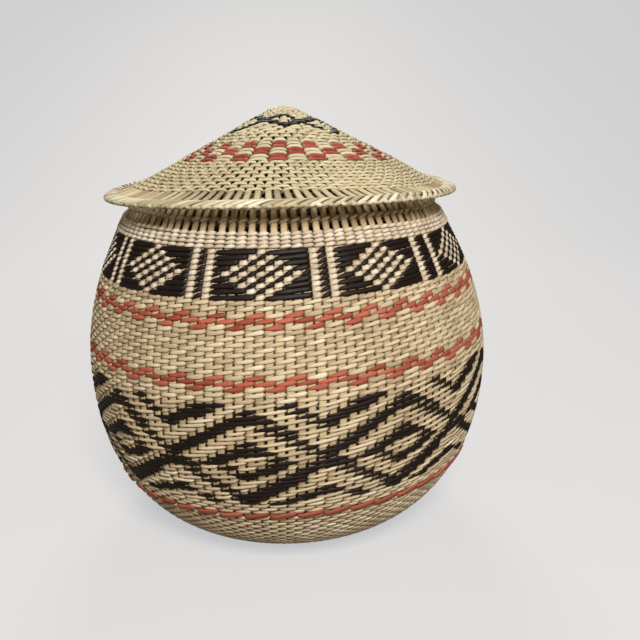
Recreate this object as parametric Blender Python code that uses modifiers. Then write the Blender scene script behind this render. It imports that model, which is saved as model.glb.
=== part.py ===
"""Round twined basket with a lift-off lid.

Pairs of split stems (the wefts) twist round upright stakes, row upon row. Dyed wefts make the
red stripes, the band of black panels and the zone of black diamonds. Each run of rows is
modelled as the ring of wall that it makes. From the side of the bowl up to the panels, and on
the lid from the red band outwards, each row is a ridge of its ring. The basket's rows
rise to the right a little, as on a basket made by hand. Where the stakes stand bare, in the
neck and near the lid's rim, each stake is modelled by itself, and its ends go into the walls
on both sides.

Units are metres and +Z is up. The origin is the middle of the flat underside.
"""
import math

import bpy
import bmesh
import numpy as np
from mathutils import Vector

# Outline of the basket, measured on the outside of its wall
BELLY_RADIUS = 0.125
BELLY_HEIGHT = 0.107
FOOT_RADIUS = 0.050
MOUTH_RADIUS = 0.0870
LOWER_CURVE_POWER = 2.2
UPPER_CURVE_POWER = 1.9
WALL = 0.0040

# The crossed stakes in the middle of the underside, where the weaving starts
BASE_START_RADIUS = 0.020

# Heights of the runs of rows, from the ground up. The first rows of the bowl stay smooth.
SMOOTH_BOWL_HEIGHT = 0.0078
LOWER_WALL_HEIGHT = 0.0433
BASE_RED_ROW_HEIGHT = 0.0028
UNDER_DIAMONDS_HEIGHT = 0.0068
DIAMONDS_HEIGHT = 0.0612
OVER_DIAMONDS_HEIGHT = 0.0061
RED_STRIPE_HEIGHT = 0.0086
MIDDLE_WALL_HEIGHT = 0.0222
UNDER_PANELS_HEIGHT = 0.0058
PANELS_HEIGHT = 0.0241
SHOULDER_HEIGHT = 0.0080
NECK_HEIGHT = 0.0100

# Rows in each run that has more than one; the base's red line is a single row
BOWL_ROW_COUNT = 18
UNDER_DIAMONDS_ROW_COUNT = 3
DIAMOND_ROW_COUNT = 21
OVER_DIAMONDS_ROW_COUNT = 2
STRIPE_ROW_COUNT = 3
MIDDLE_ROW_COUNT = 8
UNDER_PANELS_ROW_COUNT = 2
PANEL_ROW_COUNT = 9
LID_RED_ROW_COUNT = 6
LID_LOWER_ROW_COUNT = 9

# Depth of the groove between two rows
ROW_RELIEF = 0.0013

# Slope at which the rows rise to the right, at the ground and at the mouth
ROW_SLOPE_LOW = math.radians(3.6)
ROW_SLOPE_HIGH = math.radians(1.24)

# The single row of wefts that holds the bare stakes of the neck
NECK_ROW_LIFT = 0.0045
NECK_ROW_HEIGHT = 0.0016

# The rolled border round the mouth, seen in section as a circle
BORDER_RADIUS = 0.0022

# Bare stakes, in the neck and in the lid
STAKE_COUNT = 108
STAKE_THICKNESS = 0.0014
STAKE_WIDTH_SHARE = 0.70
STAKE_TUCK = 0.0030
BORDER_TUCK = 0.0018

# Gap between neighbours, and room on each side of a stake in its groove
GAP = 0.0003
GROOVE_ROOM = 0.00045

# Outline of the lid: its crown, and the widths of its runs of rows, seen from above
LID_CROWN_RADIUS = 0.0080
LID_START_RADIUS = 0.0150
LID_BLACK_WIDTH = 0.0160
LID_UPPER_WIDTH = 0.0090
LID_RED_WIDTH = 0.0190
LID_SEAT_REACH = 0.0017
LID_FLARE_WIDTH = 0.0065
LID_OPEN_WIDTH = 0.0090
LID_SLOPE = math.radians(27.5)
BRIM_SLOPE = math.radians(11.5)
CROWN_RISE = 0.0010

# Rows between the ends of the lid's bare stakes and the nearest groove
STAKE_END_COVER = 0.0014

# The plaited rim of the lid
BRAID_WIDTH = 0.0100
BRAID_THICKNESS = 0.0046
BRAID_TUCK = 0.0040
STAKE_BEND = 0.0012

# The collar under the lid, which drops into the mouth
COLLAR_THICKNESS = 0.0028
COLLAR_DEPTH = 0.0150
COLLAR_TUCK = 0.0012
COLLAR_EDGE_RADIUS = 0.0019
MOUTH_CLEARANCE = 0.0015

# Facets round each turned piece, and round a circular section
TURN_STEPS = 36
SECTION_STEPS = 8

# Points at which the bowl's curve is measured, to space its rows evenly
CURVE_STEPS = 200

# Corners nearer than this are joined into one, where a turned or arrayed shape closes
MERGE_DISTANCE = 0.00001

# Heights that follow from the runs of rows
BASE_RED_ROW_FROM = LOWER_WALL_HEIGHT
DIAMOND_FROM = BASE_RED_ROW_FROM + BASE_RED_ROW_HEIGHT
DIAMONDS_FROM = DIAMOND_FROM + UNDER_DIAMONDS_HEIGHT
OVER_DIAMONDS_FROM = DIAMONDS_FROM + DIAMONDS_HEIGHT
LOWER_STRIPE_FROM = OVER_DIAMONDS_FROM + OVER_DIAMONDS_HEIGHT
MIDDLE_FROM = LOWER_STRIPE_FROM + RED_STRIPE_HEIGHT
UPPER_STRIPE_FROM = MIDDLE_FROM + MIDDLE_WALL_HEIGHT
PANEL_FROM = UPPER_STRIPE_FROM + RED_STRIPE_HEIGHT
PANELS_FROM = PANEL_FROM + UNDER_PANELS_HEIGHT
SHOULDER_FROM = PANELS_FROM + PANELS_HEIGHT
NECK_FROM = SHOULDER_FROM + SHOULDER_HEIGHT
BORDER_FROM = NECK_FROM + NECK_HEIGHT
MOUTH_HEIGHT = BORDER_FROM + 2 * BORDER_RADIUS

# Floor of the groove that the neck's stakes stand in
NECK_GROOVE_FROM = NECK_FROM - STAKE_TUCK - GAP

# Middle of the wall, and the half width of a groove that a stake's end goes into
MID_WALL = WALL / 2
GROOVE_HALF = STAKE_THICKNESS / 2 + GROOVE_ROOM

STRAW = (0.60, 0.47, 0.29)
PALE_STRAW = (0.70, 0.58, 0.38)
STAKE_TAN = (0.50, 0.30, 0.13)
BLACK = (0.030, 0.022, 0.018)
RED = (0.42, 0.10, 0.045)


def clear_scene():
    """Remove whatever the file holds already."""
    for old in list(bpy.data.objects):
        bpy.data.objects.remove(old, do_unlink=True)


def new_collection(name):
    """Make a collection under the scene's own."""
    collection = bpy.data.collections.new(name)
    bpy.context.scene.collection.children.link(collection)
    return collection


def straw_material(name, colour, roughness=0.75):
    """Dry plant fibre of one colour."""
    material = bpy.data.materials.new(name)
    material.use_nodes = True
    shader = material.node_tree.nodes["Principled BSDF"]
    shader.inputs["Base Color"].default_value = (*colour, 1.0)
    shader.inputs["Roughness"].default_value = roughness
    shader.inputs["Metallic"].default_value = 0.0
    return material


def add_object(collection, name, mesh, colour):
    """Link a mesh as a named object with its own material."""
    piece = bpy.data.objects.new(name, mesh)
    collection.objects.link(piece)
    mesh.materials.append(straw_material(name, colour))
    return piece


def turn(collection, name, profile, colour):
    """Turn a closed outline of (radius, height) points about the Z axis.

    The outline runs down its outer side and up its inner side.
    """
    count = len(profile)
    points = [(radius, 0, height) for radius, height in profile]
    edges = [(i, (i + 1) % count) for i in range(count)]
    mesh = bpy.data.meshes.new(name)
    mesh.from_pydata(points, edges, [])
    piece = add_object(collection, name, mesh, colour)
    screw = piece.modifiers.new("Turn", "SCREW")
    screw.axis = "Z"
    screw.steps = TURN_STEPS
    screw.render_steps = TURN_STEPS
    screw.use_merge_vertices = True
    screw.merge_threshold = MERGE_DISTANCE
    screw.use_smooth_shade = True
    return piece


def wall_frame(height):
    """Radius of the basket's outer face at a height, and its outward normal.

    Up to the belly the outline is a quarter of a superellipse, read by the angle a:
    height = belly * (1 - cos(a)^(2/p)), radius = foot + (belly radius - foot) * sin(a).
    Above it, the radius falls off as a power of the height over the belly.
    """
    if height < BELLY_HEIGHT:
        share = max(1 - height / BELLY_HEIGHT, 0)
        angle = math.acos(share ** (LOWER_CURVE_POWER / 2))
        spread = BELLY_RADIUS - FOOT_RADIUS
        radius = FOOT_RADIUS + spread * math.sin(angle)
        rise_share = 2 / LOWER_CURVE_POWER
        d_height = BELLY_HEIGHT * rise_share * math.cos(angle) ** (rise_share - 1) * math.sin(angle)
        d_radius = spread * math.cos(angle)
    else:
        length = MOUTH_HEIGHT - BELLY_HEIGHT
        share = (height - BELLY_HEIGHT) / length
        drop = BELLY_RADIUS - MOUTH_RADIUS
        radius = BELLY_RADIUS - drop * share ** UPPER_CURVE_POWER
        d_height = 1
        d_radius = -drop * UPPER_CURVE_POWER * share ** (UPPER_CURVE_POWER - 1) / length
    normal = Vector((d_height, -d_radius)).normalized()
    return radius, normal


def wall_point(height, depth=0):
    """A point (radius, height) that lies a depth inside the wall's outer face."""
    radius, normal = wall_frame(height)
    return (radius - depth * normal.x, height - depth * normal.y)


def even_places(first, last, count):
    """Places from first to last, count of them, both ends included."""
    return [first + (last - first) * i / (count - 1) for i in range(count)]


def ease(share):
    """0 below 0, 1 above 1, and a smooth rise between."""
    share = min(max(share, 0), 1)
    return share * share * (3 - 2 * share)


def row_rise(height, angle):
    """How far a row lies over its middle height, at an angle about Z.

    The slope fades out towards the flat underside, and over the shoulder towards the neck,
    which is level.
    """
    low = ease(height / LOWER_WALL_HEIGHT)
    high = 1 - ease((height - SHOULDER_FROM) / (NECK_GROOVE_FROM - SHOULDER_FROM))
    slope = ROW_SLOPE_LOW + (ROW_SLOPE_HIGH - ROW_SLOPE_LOW) * height / MOUTH_HEIGHT
    return low * high * wall_frame(height)[0] * math.tan(slope) * math.cos(angle)


def sloping_turn(collection, name, outline, colour):
    """Turn a closed outline of (height, depth in the wall) points, with the rows' slope.

    The outline runs down its outer side and up its inner side.
    """
    points = []
    for i in range(TURN_STEPS):
        angle = 2 * math.pi * i / TURN_STEPS
        for height, depth in outline:
            radius, z = wall_point(height + row_rise(height, angle), depth)
            points.append((radius * math.cos(angle), radius * math.sin(angle), z))
    count = len(outline)
    faces = [
        (
            i * count + j,
            i * count + (j + 1) % count,
            (i + 1) % TURN_STEPS * count + (j + 1) % count,
            (i + 1) % TURN_STEPS * count + j,
        )
        for i in range(TURN_STEPS)
        for j in range(count)
    ]
    mesh = bpy.data.meshes.new(name)
    mesh.from_pydata(points, [], faces)
    return add_object(collection, name, mesh, colour)


def ridged(edges, point):
    """Corners of a run's outer side, with a ridge for each row.

    point(place, depth) gives a corner, and edges are the places of the grooves between rows,
    in the order in which the outline is drawn.
    """
    corners = [point(edges[0], ROW_RELIEF)]
    for first, second in zip(edges[:-1], edges[1:]):
        corners.append(point((first + second) / 2, 0))
        corners.append(point(second, ROW_RELIEF))
    return corners


def in_wall(height, depth):
    """A corner of a sloping outline."""
    return (height, depth)


def row_edges(runs):
    """Heights of the grooves between rows, from the lowest up.

    runs holds (height from, height to, rows) for each even run.
    """
    edges = [runs[0][0] + GAP / 2]
    for low, high, rows in runs:
        edges += [low + (high - low) * (i + 1) / rows for i in range(rows)]
    edges[-1] -= GAP / 2
    return edges


def wall_ring(collection, name, runs, inner_count, colour):
    """A ring of the basket's wall, with a ridge on its outer side for each row."""
    edges = row_edges(runs)
    outer = ridged(edges[::-1], in_wall)
    heights = even_places(edges[0], edges[-1], inner_count)
    inner = [(height, WALL) for height in heights]
    return sloping_turn(collection, name, outer + inner, colour)


def base_start(collection):
    """The flat middle of the underside, where the stakes cross."""
    shape = bmesh.new()
    bmesh.ops.create_cone(
        shape,
        cap_ends=True,
        segments=TURN_STEPS,
        radius1=BASE_START_RADIUS,
        radius2=BASE_START_RADIUS,
        depth=WALL,
    )
    bmesh.ops.translate(shape, verts=shape.verts, vec=(0, 0, WALL / 2))
    mesh = bpy.data.meshes.new("base_start")
    shape.to_mesh(mesh)
    shape.free()
    return add_object(collection, "base_start", mesh, STRAW)


def base_rows(collection):
    """The flat rows of the underside, from the start out to where the bowl rises."""
    inside = BASE_START_RADIUS + GAP
    outside = FOOT_RADIUS - GAP
    profile = [(outside, WALL), (outside, 0), (inside, 0), (inside, WALL)]
    return turn(collection, "base_rows", profile, STRAW)


def bowl_heights(low, high, count):
    """Heights from low to high, count of them, spaced evenly along the bowl's outline."""
    ends = [math.acos((1 - h / BELLY_HEIGHT) ** (LOWER_CURVE_POWER / 2)) for h in (low, high)]
    angles = np.linspace(*ends, CURVE_STEPS)
    radii = (BELLY_RADIUS - FOOT_RADIUS) * np.sin(angles)
    heights = BELLY_HEIGHT * (1 - np.cos(angles) ** (2 / LOWER_CURVE_POWER))
    steps = np.hypot(np.diff(radii), np.diff(heights))
    lengths = np.concatenate([[0], np.cumsum(steps)])
    return list(np.interp(np.linspace(0, lengths[-1], count), lengths, heights))


def lower_wall(collection):
    """The bowl, from the flat underside up to the base's red row."""
    top = LOWER_WALL_HEIGHT - GAP / 2
    edges = bowl_heights(SMOOTH_BOWL_HEIGHT, top, BOWL_ROW_COUNT + 1)
    rows = ridged(edges[::-1], in_wall)
    smooth = [(height, 0) for height in reversed(bowl_heights(0, SMOOTH_BOWL_HEIGHT, 4))]
    inner = [(height, WALL) for height in bowl_heights(0, top, 6)]
    return sloping_turn(collection, "lower_wall", rows[:-1] + smooth + inner, STRAW)


def shoulder_rows(collection):
    """The plain rows over the panels, with the groove that the neck's stakes stand in."""
    low = SHOULDER_FROM + GAP / 2
    high = NECK_FROM
    outer = [(high, 0), (low, 0)]
    inner = [(low, WALL), (high, WALL)]
    groove = [
        (high, MID_WALL + GROOVE_HALF),
        (NECK_GROOVE_FROM, MID_WALL + GROOVE_HALF),
        (NECK_GROOVE_FROM, MID_WALL - GROOVE_HALF),
        (high, MID_WALL - GROOVE_HALF),
    ]
    return sloping_turn(collection, "shoulder_rows", outer + inner + groove, STRAW)


def stake_cage(collection, name, points, ring_edge_from, ring_edge_to, colour):
    """Bare stakes round the axis, held by one ring.

    points run along a stake as (radius, height), on the middle of its thickness. The ring
    joins neighbouring stakes between the two given points. One pitch, a stake and the ring
    to its neighbour, is drawn and arrayed, and Solidify gives the thickness.
    """
    pitch = 2 * math.pi / STAKE_COUNT
    angles = (0, pitch * STAKE_WIDTH_SHARE, pitch)
    count = len(points)
    verts = [(r * math.cos(a), r * math.sin(a), z) for a in angles for r, z in points]
    stake = [(i, count + i, count + i + 1, i + 1) for i in range(count - 1)]
    link = [
        (count + i, 2 * count + i, 2 * count + i + 1, count + i + 1)
        for i in range(ring_edge_from, ring_edge_to)
    ]
    shape = bmesh.new()
    corners = [shape.verts.new(v) for v in verts]
    for face in stake + link:
        shape.faces.new([corners[i] for i in face])
    loose = [v for v in shape.verts if not v.link_faces]
    bmesh.ops.delete(shape, geom=loose, context="VERTS")
    mesh = bpy.data.meshes.new(name)
    shape.to_mesh(mesh)
    shape.free()
    piece = add_object(collection, name, mesh, colour)
    guide = bpy.data.objects.new(name + "_pitch", None)
    guide.rotation_euler = (0, 0, pitch)
    guide.hide_render = True
    collection.objects.link(guide)
    array = piece.modifiers.new("Round the axis", "ARRAY")
    array.count = STAKE_COUNT
    array.use_relative_offset = False
    array.use_object_offset = True
    array.offset_object = guide
    array.use_merge_vertices = True
    array.use_merge_vertices_cap = True
    array.merge_threshold = MERGE_DISTANCE
    thick = piece.modifiers.new("Thickness", "SOLIDIFY")
    thick.thickness = STAKE_THICKNESS
    thick.offset = 0
    thick.use_even_offset = True
    return piece


def neck_stakes(collection):
    """The bare stakes of the neck and the single row that holds them."""
    row_from = NECK_FROM + NECK_ROW_LIFT
    heights = (
        NECK_FROM - STAKE_TUCK,
        row_from,
        row_from + NECK_ROW_HEIGHT,
        BORDER_FROM + BORDER_TUCK,
    )
    points = [wall_point(height, MID_WALL) for height in heights]
    return stake_cage(collection, "neck_stakes", points, 1, 2, STAKE_TAN)


def border_centre():
    """Centre of the mouth border's section, and the wall's direction and normal there."""
    height = BORDER_FROM + BORDER_RADIUS
    normal = wall_frame(height)[1]
    along = Vector((-normal.y, normal.x))
    return Vector(wall_point(height, MID_WALL)), along, normal


def mouth_border(collection):
    """The rolled border, grooved below for the stakes that are bent over inside it."""
    centre, along, normal = border_centre()
    opening = math.asin(GROOVE_HALF / BORDER_RADIUS)
    sweep = 2 * (math.pi - opening)
    angles = [opening - math.pi + sweep * i / SECTION_STEPS for i in range(SECTION_STEPS + 1)]
    rim = [
        centre + BORDER_RADIUS * (math.cos(a) * along + math.sin(a) * normal)
        for a in angles
    ]
    top = BORDER_TUCK + GAP - BORDER_RADIUS
    groove = [
        centre + top * along + GROOVE_HALF * normal,
        centre + top * along - GROOVE_HALF * normal,
    ]
    profile = [tuple(point) for point in rim + groove]
    return turn(collection, "mouth_border", profile, PALE_STRAW)


# Radii where one run of the lid's rows meets the next. The outermost rows rest on the border.
LID_BLACK_RADIUS = LID_START_RADIUS + LID_BLACK_WIDTH
LID_UPPER_RADIUS = LID_BLACK_RADIUS + LID_UPPER_WIDTH
LID_RED_RADIUS = LID_UPPER_RADIUS + LID_RED_WIDTH
LID_LOWER_RADIUS = border_centre()[0].x + LID_SEAT_REACH
LID_FLARE_RADIUS = LID_LOWER_RADIUS - LID_FLARE_WIDTH
BRIM_FROM = LID_LOWER_RADIUS + LID_OPEN_WIDTH


def lid_drop(radius):
    """Drop of the lid's outer face below the point of its cone, and the slope's tangent."""
    steep = math.tan(LID_SLOPE)
    shallow = math.tan(BRIM_SLOPE)
    flare = LID_FLARE_WIDTH + LID_OPEN_WIDTH
    over = min(max(radius - LID_FLARE_RADIUS, 0), flare)
    ease = (steep - shallow) / flare
    past = max(radius - BRIM_FROM, 0)
    drop = steep * (radius - past) - ease * over ** 2 / 2 + shallow * past
    return drop, steep - ease * over


def lid_point_height():
    """Height of the point of the lid's cone, which makes the lid rest on the border."""
    centre = border_centre()[0]
    reach = BORDER_RADIUS + GAP + WALL
    foot = centre.x
    for _ in range(8):
        foot = centre.x + reach * math.sin(math.atan(lid_drop(foot)[1]))
    drop, tangent = lid_drop(foot)
    return centre.y + reach * math.cos(math.atan(tangent)) + drop


LID_POINT_HEIGHT = lid_point_height()


def lid_point(radius, depth=0):
    """A point (radius, height) that lies a depth under the lid's outer face."""
    drop, tangent = lid_drop(radius)
    slope = math.atan(tangent)
    height = LID_POINT_HEIGHT - drop
    return (radius - depth * math.sin(slope), height - depth * math.cos(slope))


def under_height(radius):
    """Height of the lid's underside at a radius."""
    outer = radius
    for _ in range(8):
        outer = radius + WALL * math.sin(math.atan(lid_drop(outer)[1]))
    return lid_point(outer, WALL)[1]


def lid_start(collection):
    """The blunt crown, where the lid's stakes start."""
    edge = LID_START_RADIUS - GAP / 2
    crown = lid_point(LID_CROWN_RADIUS)[1] + CROWN_RISE
    under = lid_point(LID_CROWN_RADIUS, WALL)
    profile = [
        (0, crown),
        (LID_CROWN_RADIUS, crown),
        lid_point(edge),
        lid_point(edge, WALL),
        under,
        (0, under[1]),
    ]
    piece = turn(collection, "lid_start", profile, STRAW)
    weld = piece.modifiers.new("Close the axis", "WELD")
    weld.merge_threshold = MERGE_DISTANCE
    return piece


def lid_ring(collection, name, inner_radius, outer_radius, colour, rows=0):
    """One run of the lid's rows, between two radii, smooth or with so many ridges."""
    inside = inner_radius + GAP / 2
    outside = outer_radius - GAP / 2
    if rows:
        outer = ridged(even_places(inside, outside, rows + 1), lid_point)
    else:
        outer = [lid_point(inside), lid_point(outside)]
    profile = outer + [lid_point(outside, WALL), lid_point(inside, WALL)]
    return turn(collection, name, profile, colour)


def collar_radii():
    """Inner and outer radius of the collar, which clears the mouth border."""
    mouth = border_centre()[0].x - BORDER_RADIUS
    middle = mouth - MOUTH_CLEARANCE - COLLAR_EDGE_RADIUS
    return middle - COLLAR_THICKNESS / 2, middle + COLLAR_THICKNESS / 2


def collar_top():
    """Height of the collar's upper end, tucked into the lid's underside."""
    return under_height(collar_radii()[0]) + COLLAR_TUCK


def lid_lower_wall(collection):
    """The lid's outermost rows, grooved for its bare stakes and for the collar.

    The last row runs out smooth, because the stakes' ends lie close under it.
    """
    inside = LID_RED_RADIUS + GAP / 2
    outside = LID_LOWER_RADIUS
    floor = outside - STAKE_TUCK - GAP
    collar_in, collar_out = collar_radii()
    groove_in = collar_in - GAP
    groove_out = collar_out + GAP
    edges = even_places(inside, floor - STAKE_END_COVER, LID_LOWER_ROW_COUNT)
    profile = ridged(edges, lid_point) + [
        lid_point((edges[-1] + outside) / 2),
        lid_point(outside),
        lid_point(outside, MID_WALL - GROOVE_HALF),
        lid_point(floor, MID_WALL - GROOVE_HALF),
        lid_point(floor, MID_WALL + GROOVE_HALF),
        lid_point(outside, MID_WALL + GROOVE_HALF),
        lid_point(outside, WALL),
        (groove_out, under_height(groove_out)),
        (groove_out, collar_top() + GAP),
        (groove_in, collar_top() + GAP),
        (groove_in, under_height(groove_in)),
        lid_point(inside, WALL),
    ]
    return turn(collection, "lid_lower_wall", profile, STRAW)


def lid_stakes(collection):
    """The bare stakes under the lid's rim, joined where their ends turn into the plait."""
    end = BRIM_FROM + BRAID_TUCK
    radii = (end, end - STAKE_BEND, LID_LOWER_RADIUS - STAKE_TUCK)
    points = [lid_point(radius, MID_WALL) for radius in radii]
    return stake_cage(collection, "lid_stakes", points, 0, 1, STAKE_TAN)


def lid_braid(collection):
    """The plaited rim, a flattened ring grooved inside for the ends of the stakes."""
    middle = Vector(lid_point(BRIM_FROM + BRAID_WIDTH / 2, MID_WALL))
    out = Vector((math.cos(BRIM_SLOPE), -math.sin(BRIM_SLOPE)))
    up = Vector((math.sin(BRIM_SLOPE), math.cos(BRIM_SLOPE)))
    half_width = BRAID_WIDTH / 2
    half_thickness = BRAID_THICKNESS / 2
    opening = math.asin(GROOVE_HALF / half_thickness)
    sweep = 2 * (math.pi - opening)
    angles = [math.pi - opening - sweep * i / SECTION_STEPS for i in range(SECTION_STEPS + 1)]
    rim = [
        middle + half_width * math.cos(a) * out + half_thickness * math.sin(a) * up
        for a in angles
    ]
    depth = BRIM_FROM + BRAID_TUCK + GAP - middle.x
    groove = [
        middle + depth * out - GROOVE_HALF * up,
        middle + depth * out + GROOVE_HALF * up,
    ]
    profile = [tuple(point) for point in rim + groove]
    return turn(collection, "lid_braid", profile, PALE_STRAW)


def collar_edge_height():
    """Height of the middle of the collar's rolled lower edge."""
    return under_height(collar_radii()[1]) - COLLAR_DEPTH


def lid_collar(collection):
    """The short tube under the lid that keeps it in the middle of the mouth."""
    inner, outer = collar_radii()
    low = collar_edge_height() + COLLAR_EDGE_RADIUS + GAP
    profile = [
        (outer, collar_top()),
        (outer, low),
        (inner, low),
        (inner, collar_top()),
    ]
    return turn(collection, "lid_collar", profile, STRAW)


def lid_collar_edge(collection):
    """The rolled edge that binds the collar's lower end."""
    inner, outer = collar_radii()
    middle = (inner + outer) / 2
    height = collar_edge_height()
    profile = [
        (
            middle + COLLAR_EDGE_RADIUS * math.sin(2 * math.pi * i / SECTION_STEPS),
            height + COLLAR_EDGE_RADIUS * math.cos(2 * math.pi * i / SECTION_STEPS),
        )
        for i in range(SECTION_STEPS)
    ]
    return turn(collection, "lid_collar_edge", profile, PALE_STRAW)


def build_basket(collection):
    """The basket, from the underside up to the mouth."""
    base_start(collection)
    base_rows(collection)
    lower_wall(collection)
    base_line = [(BASE_RED_ROW_FROM, DIAMOND_FROM, 1)]
    wall_ring(collection, "base_red_row", base_line, 2, RED)
    diamonds = [
        (DIAMOND_FROM, DIAMONDS_FROM, UNDER_DIAMONDS_ROW_COUNT),
        (DIAMONDS_FROM, OVER_DIAMONDS_FROM, DIAMOND_ROW_COUNT),
        (OVER_DIAMONDS_FROM, LOWER_STRIPE_FROM, OVER_DIAMONDS_ROW_COUNT),
    ]
    wall_ring(collection, "diamond_band", diamonds, 5, BLACK)
    lower_stripe = [(LOWER_STRIPE_FROM, MIDDLE_FROM, STRIPE_ROW_COUNT)]
    wall_ring(collection, "lower_red_stripe", lower_stripe, 2, RED)
    middle = [(MIDDLE_FROM, UPPER_STRIPE_FROM, MIDDLE_ROW_COUNT)]
    wall_ring(collection, "middle_wall", middle, 3, STRAW)
    upper_stripe = [(UPPER_STRIPE_FROM, PANEL_FROM, STRIPE_ROW_COUNT)]
    wall_ring(collection, "upper_red_stripe", upper_stripe, 2, RED)
    panels = [
        (PANEL_FROM, PANELS_FROM, UNDER_PANELS_ROW_COUNT),
        (PANELS_FROM, SHOULDER_FROM, PANEL_ROW_COUNT),
    ]
    wall_ring(collection, "panel_band", panels, 3, BLACK)
    shoulder_rows(collection)
    neck_stakes(collection)
    mouth_border(collection)


def build_lid(collection):
    """The lid, from its crown out to the plaited rim, with the collar under it."""
    lid_start(collection)
    lid_ring(collection, "lid_black_band", LID_START_RADIUS, LID_BLACK_RADIUS, BLACK)
    lid_ring(collection, "lid_upper_wall", LID_BLACK_RADIUS, LID_UPPER_RADIUS, STRAW)
    red_band = (LID_UPPER_RADIUS, LID_RED_RADIUS, RED, LID_RED_ROW_COUNT)
    lid_ring(collection, "lid_red_band", *red_band)
    lid_lower_wall(collection)
    lid_stakes(collection)
    lid_braid(collection)
    lid_collar(collection)
    lid_collar_edge(collection)


clear_scene()
basket = new_collection("woven_basket")
build_basket(basket)
build_lid(basket)
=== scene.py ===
# %% [markdown]
# # A round twined basket with a lift-off lid
#
# The real basket has no solid wall. Pairs of thin split stems, the wefts, twist round upright
# stakes, row upon row, and the pattern comes from wefts that were dyed black or red first.
# A flat texture of a weave would look right from one side only, because the strands shade and
# hide each other. So every strand is built here as its own thin tube, which takes a few lines
# of numpy for each kind of row.
#
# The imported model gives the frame: each piece below stands for a ring of its wall.

# %% Load the frame
import math

import bpy
import numpy as np
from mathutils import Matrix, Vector


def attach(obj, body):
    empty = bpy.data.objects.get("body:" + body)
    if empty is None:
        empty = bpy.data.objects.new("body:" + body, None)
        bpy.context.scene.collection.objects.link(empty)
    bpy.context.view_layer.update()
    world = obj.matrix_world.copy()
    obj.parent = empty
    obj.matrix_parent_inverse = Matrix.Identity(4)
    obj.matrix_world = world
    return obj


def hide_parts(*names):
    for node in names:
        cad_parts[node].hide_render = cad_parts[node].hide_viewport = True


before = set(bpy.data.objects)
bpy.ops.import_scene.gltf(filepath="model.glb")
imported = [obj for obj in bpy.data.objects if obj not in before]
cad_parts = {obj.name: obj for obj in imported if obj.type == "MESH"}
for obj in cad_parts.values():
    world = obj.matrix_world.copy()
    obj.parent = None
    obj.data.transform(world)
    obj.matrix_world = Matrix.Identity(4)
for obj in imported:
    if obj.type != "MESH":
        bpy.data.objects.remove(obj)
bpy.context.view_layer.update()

# %% [markdown]
# ## Camera
#
# The view was worked out from the photograph's outlines and red stripes: about half a metre
# away, a little over the rim and looking slightly down. A longer lens from further off would
# show less of the lid's slope, so the distance is as important as the angle.

# %% Camera
VIEW_FROM = (0.0, -0.5072, 0.2660)
VIEW_DOWN = math.radians(15.73)
VIEW_RIGHT = math.radians(2.30)
FRAME_MM = 36.0
LENS_MM = 45.71

camera_data = bpy.data.cameras.new("camera")
camera_data.sensor_width = FRAME_MM
camera_data.lens = LENS_MM
camera = bpy.data.objects.new("camera", camera_data)
camera.location = VIEW_FROM
camera.rotation_euler = (math.radians(90) - VIEW_DOWN, 0, -VIEW_RIGHT)
bpy.context.scene.collection.objects.link(camera)
bpy.context.scene.camera = camera
print("camera at", VIEW_FROM)

# %% [markdown]
# ## Floor and light
#
# The floor and the wall behind it are one pale sheet, bent up in a wide curve, so that no
# line shows behind the basket. The light is soft, as from a wide window behind the viewer:
# it is low enough to reach in under the lid's brim, and it leaves both sides darker. A dim sky
# and a weaker lamp behind the basket fill the rest. The sheet and the sky look brighter to the
# camera than they are, which puts no light on the basket.

# %% Floor, sky and lamps
FLOOR_COLOUR = (0.25, 0.225, 0.19, 1.0)
FLOOR_GLOW = (0.52, 0.53, 0.55, 1.0)
SKY_COLOUR = (0.135, 0.130, 0.124, 1.0)
SKY_SEEN = (0.64, 0.645, 0.66, 1.0)
NO_GLOW = (0.0, 0.0, 0.0, 1.0)
BASKET_MIDDLE = (0, 0, 0.12)


def camera_sees(tree, plain, seen, socket):
    """Feed a socket one colour for light, and another where the camera itself looks."""
    rays = tree.nodes.new("ShaderNodeLightPath")
    mix = tree.nodes.new("ShaderNodeMix")
    mix.data_type = "RGBA"
    mix.inputs[6].default_value = plain
    mix.inputs[7].default_value = seen
    tree.links.new(rays.outputs["Is Camera Ray"], mix.inputs[0])
    tree.links.new(mix.outputs[2], socket)


def backdrop():
    """A sheet that lies flat, then curves up: a quarter circle between two straight runs."""
    bend = np.linspace(0, math.pi / 2, 25)
    reach, rise, radius = 0.9, 1.6, 0.5
    y = np.concatenate([[-2.0], reach + radius * np.sin(bend), [reach + radius]])
    z = np.concatenate([[0.0], radius * (1 - np.cos(bend)), [rise]])
    x = np.array([-2.5, 2.5])
    points = np.stack([np.tile(x, len(y)), np.repeat(y, 2), np.repeat(z, 2)], axis=-1)
    i = np.arange(len(y) - 1)
    faces = np.stack([2 * i, 2 * i + 1, 2 * i + 3, 2 * i + 2], axis=-1)
    mesh = bpy.data.meshes.new("backdrop")
    mesh.from_pydata(points.tolist(), [], faces.tolist())
    mesh.shade_smooth()
    material = bpy.data.materials.new("backdrop")
    material.use_nodes = True
    shader = material.node_tree.nodes["Principled BSDF"]
    shader.inputs["Base Color"].default_value = FLOOR_COLOUR
    shader.inputs["Roughness"].default_value = 0.9
    shader.inputs["Emission Strength"].default_value = 1.0
    camera_sees(material.node_tree, NO_GLOW, FLOOR_GLOW, shader.inputs["Emission Color"])
    mesh.materials.append(material)
    sheet = bpy.data.objects.new("backdrop", mesh)
    bpy.context.scene.collection.objects.link(sheet)


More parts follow.
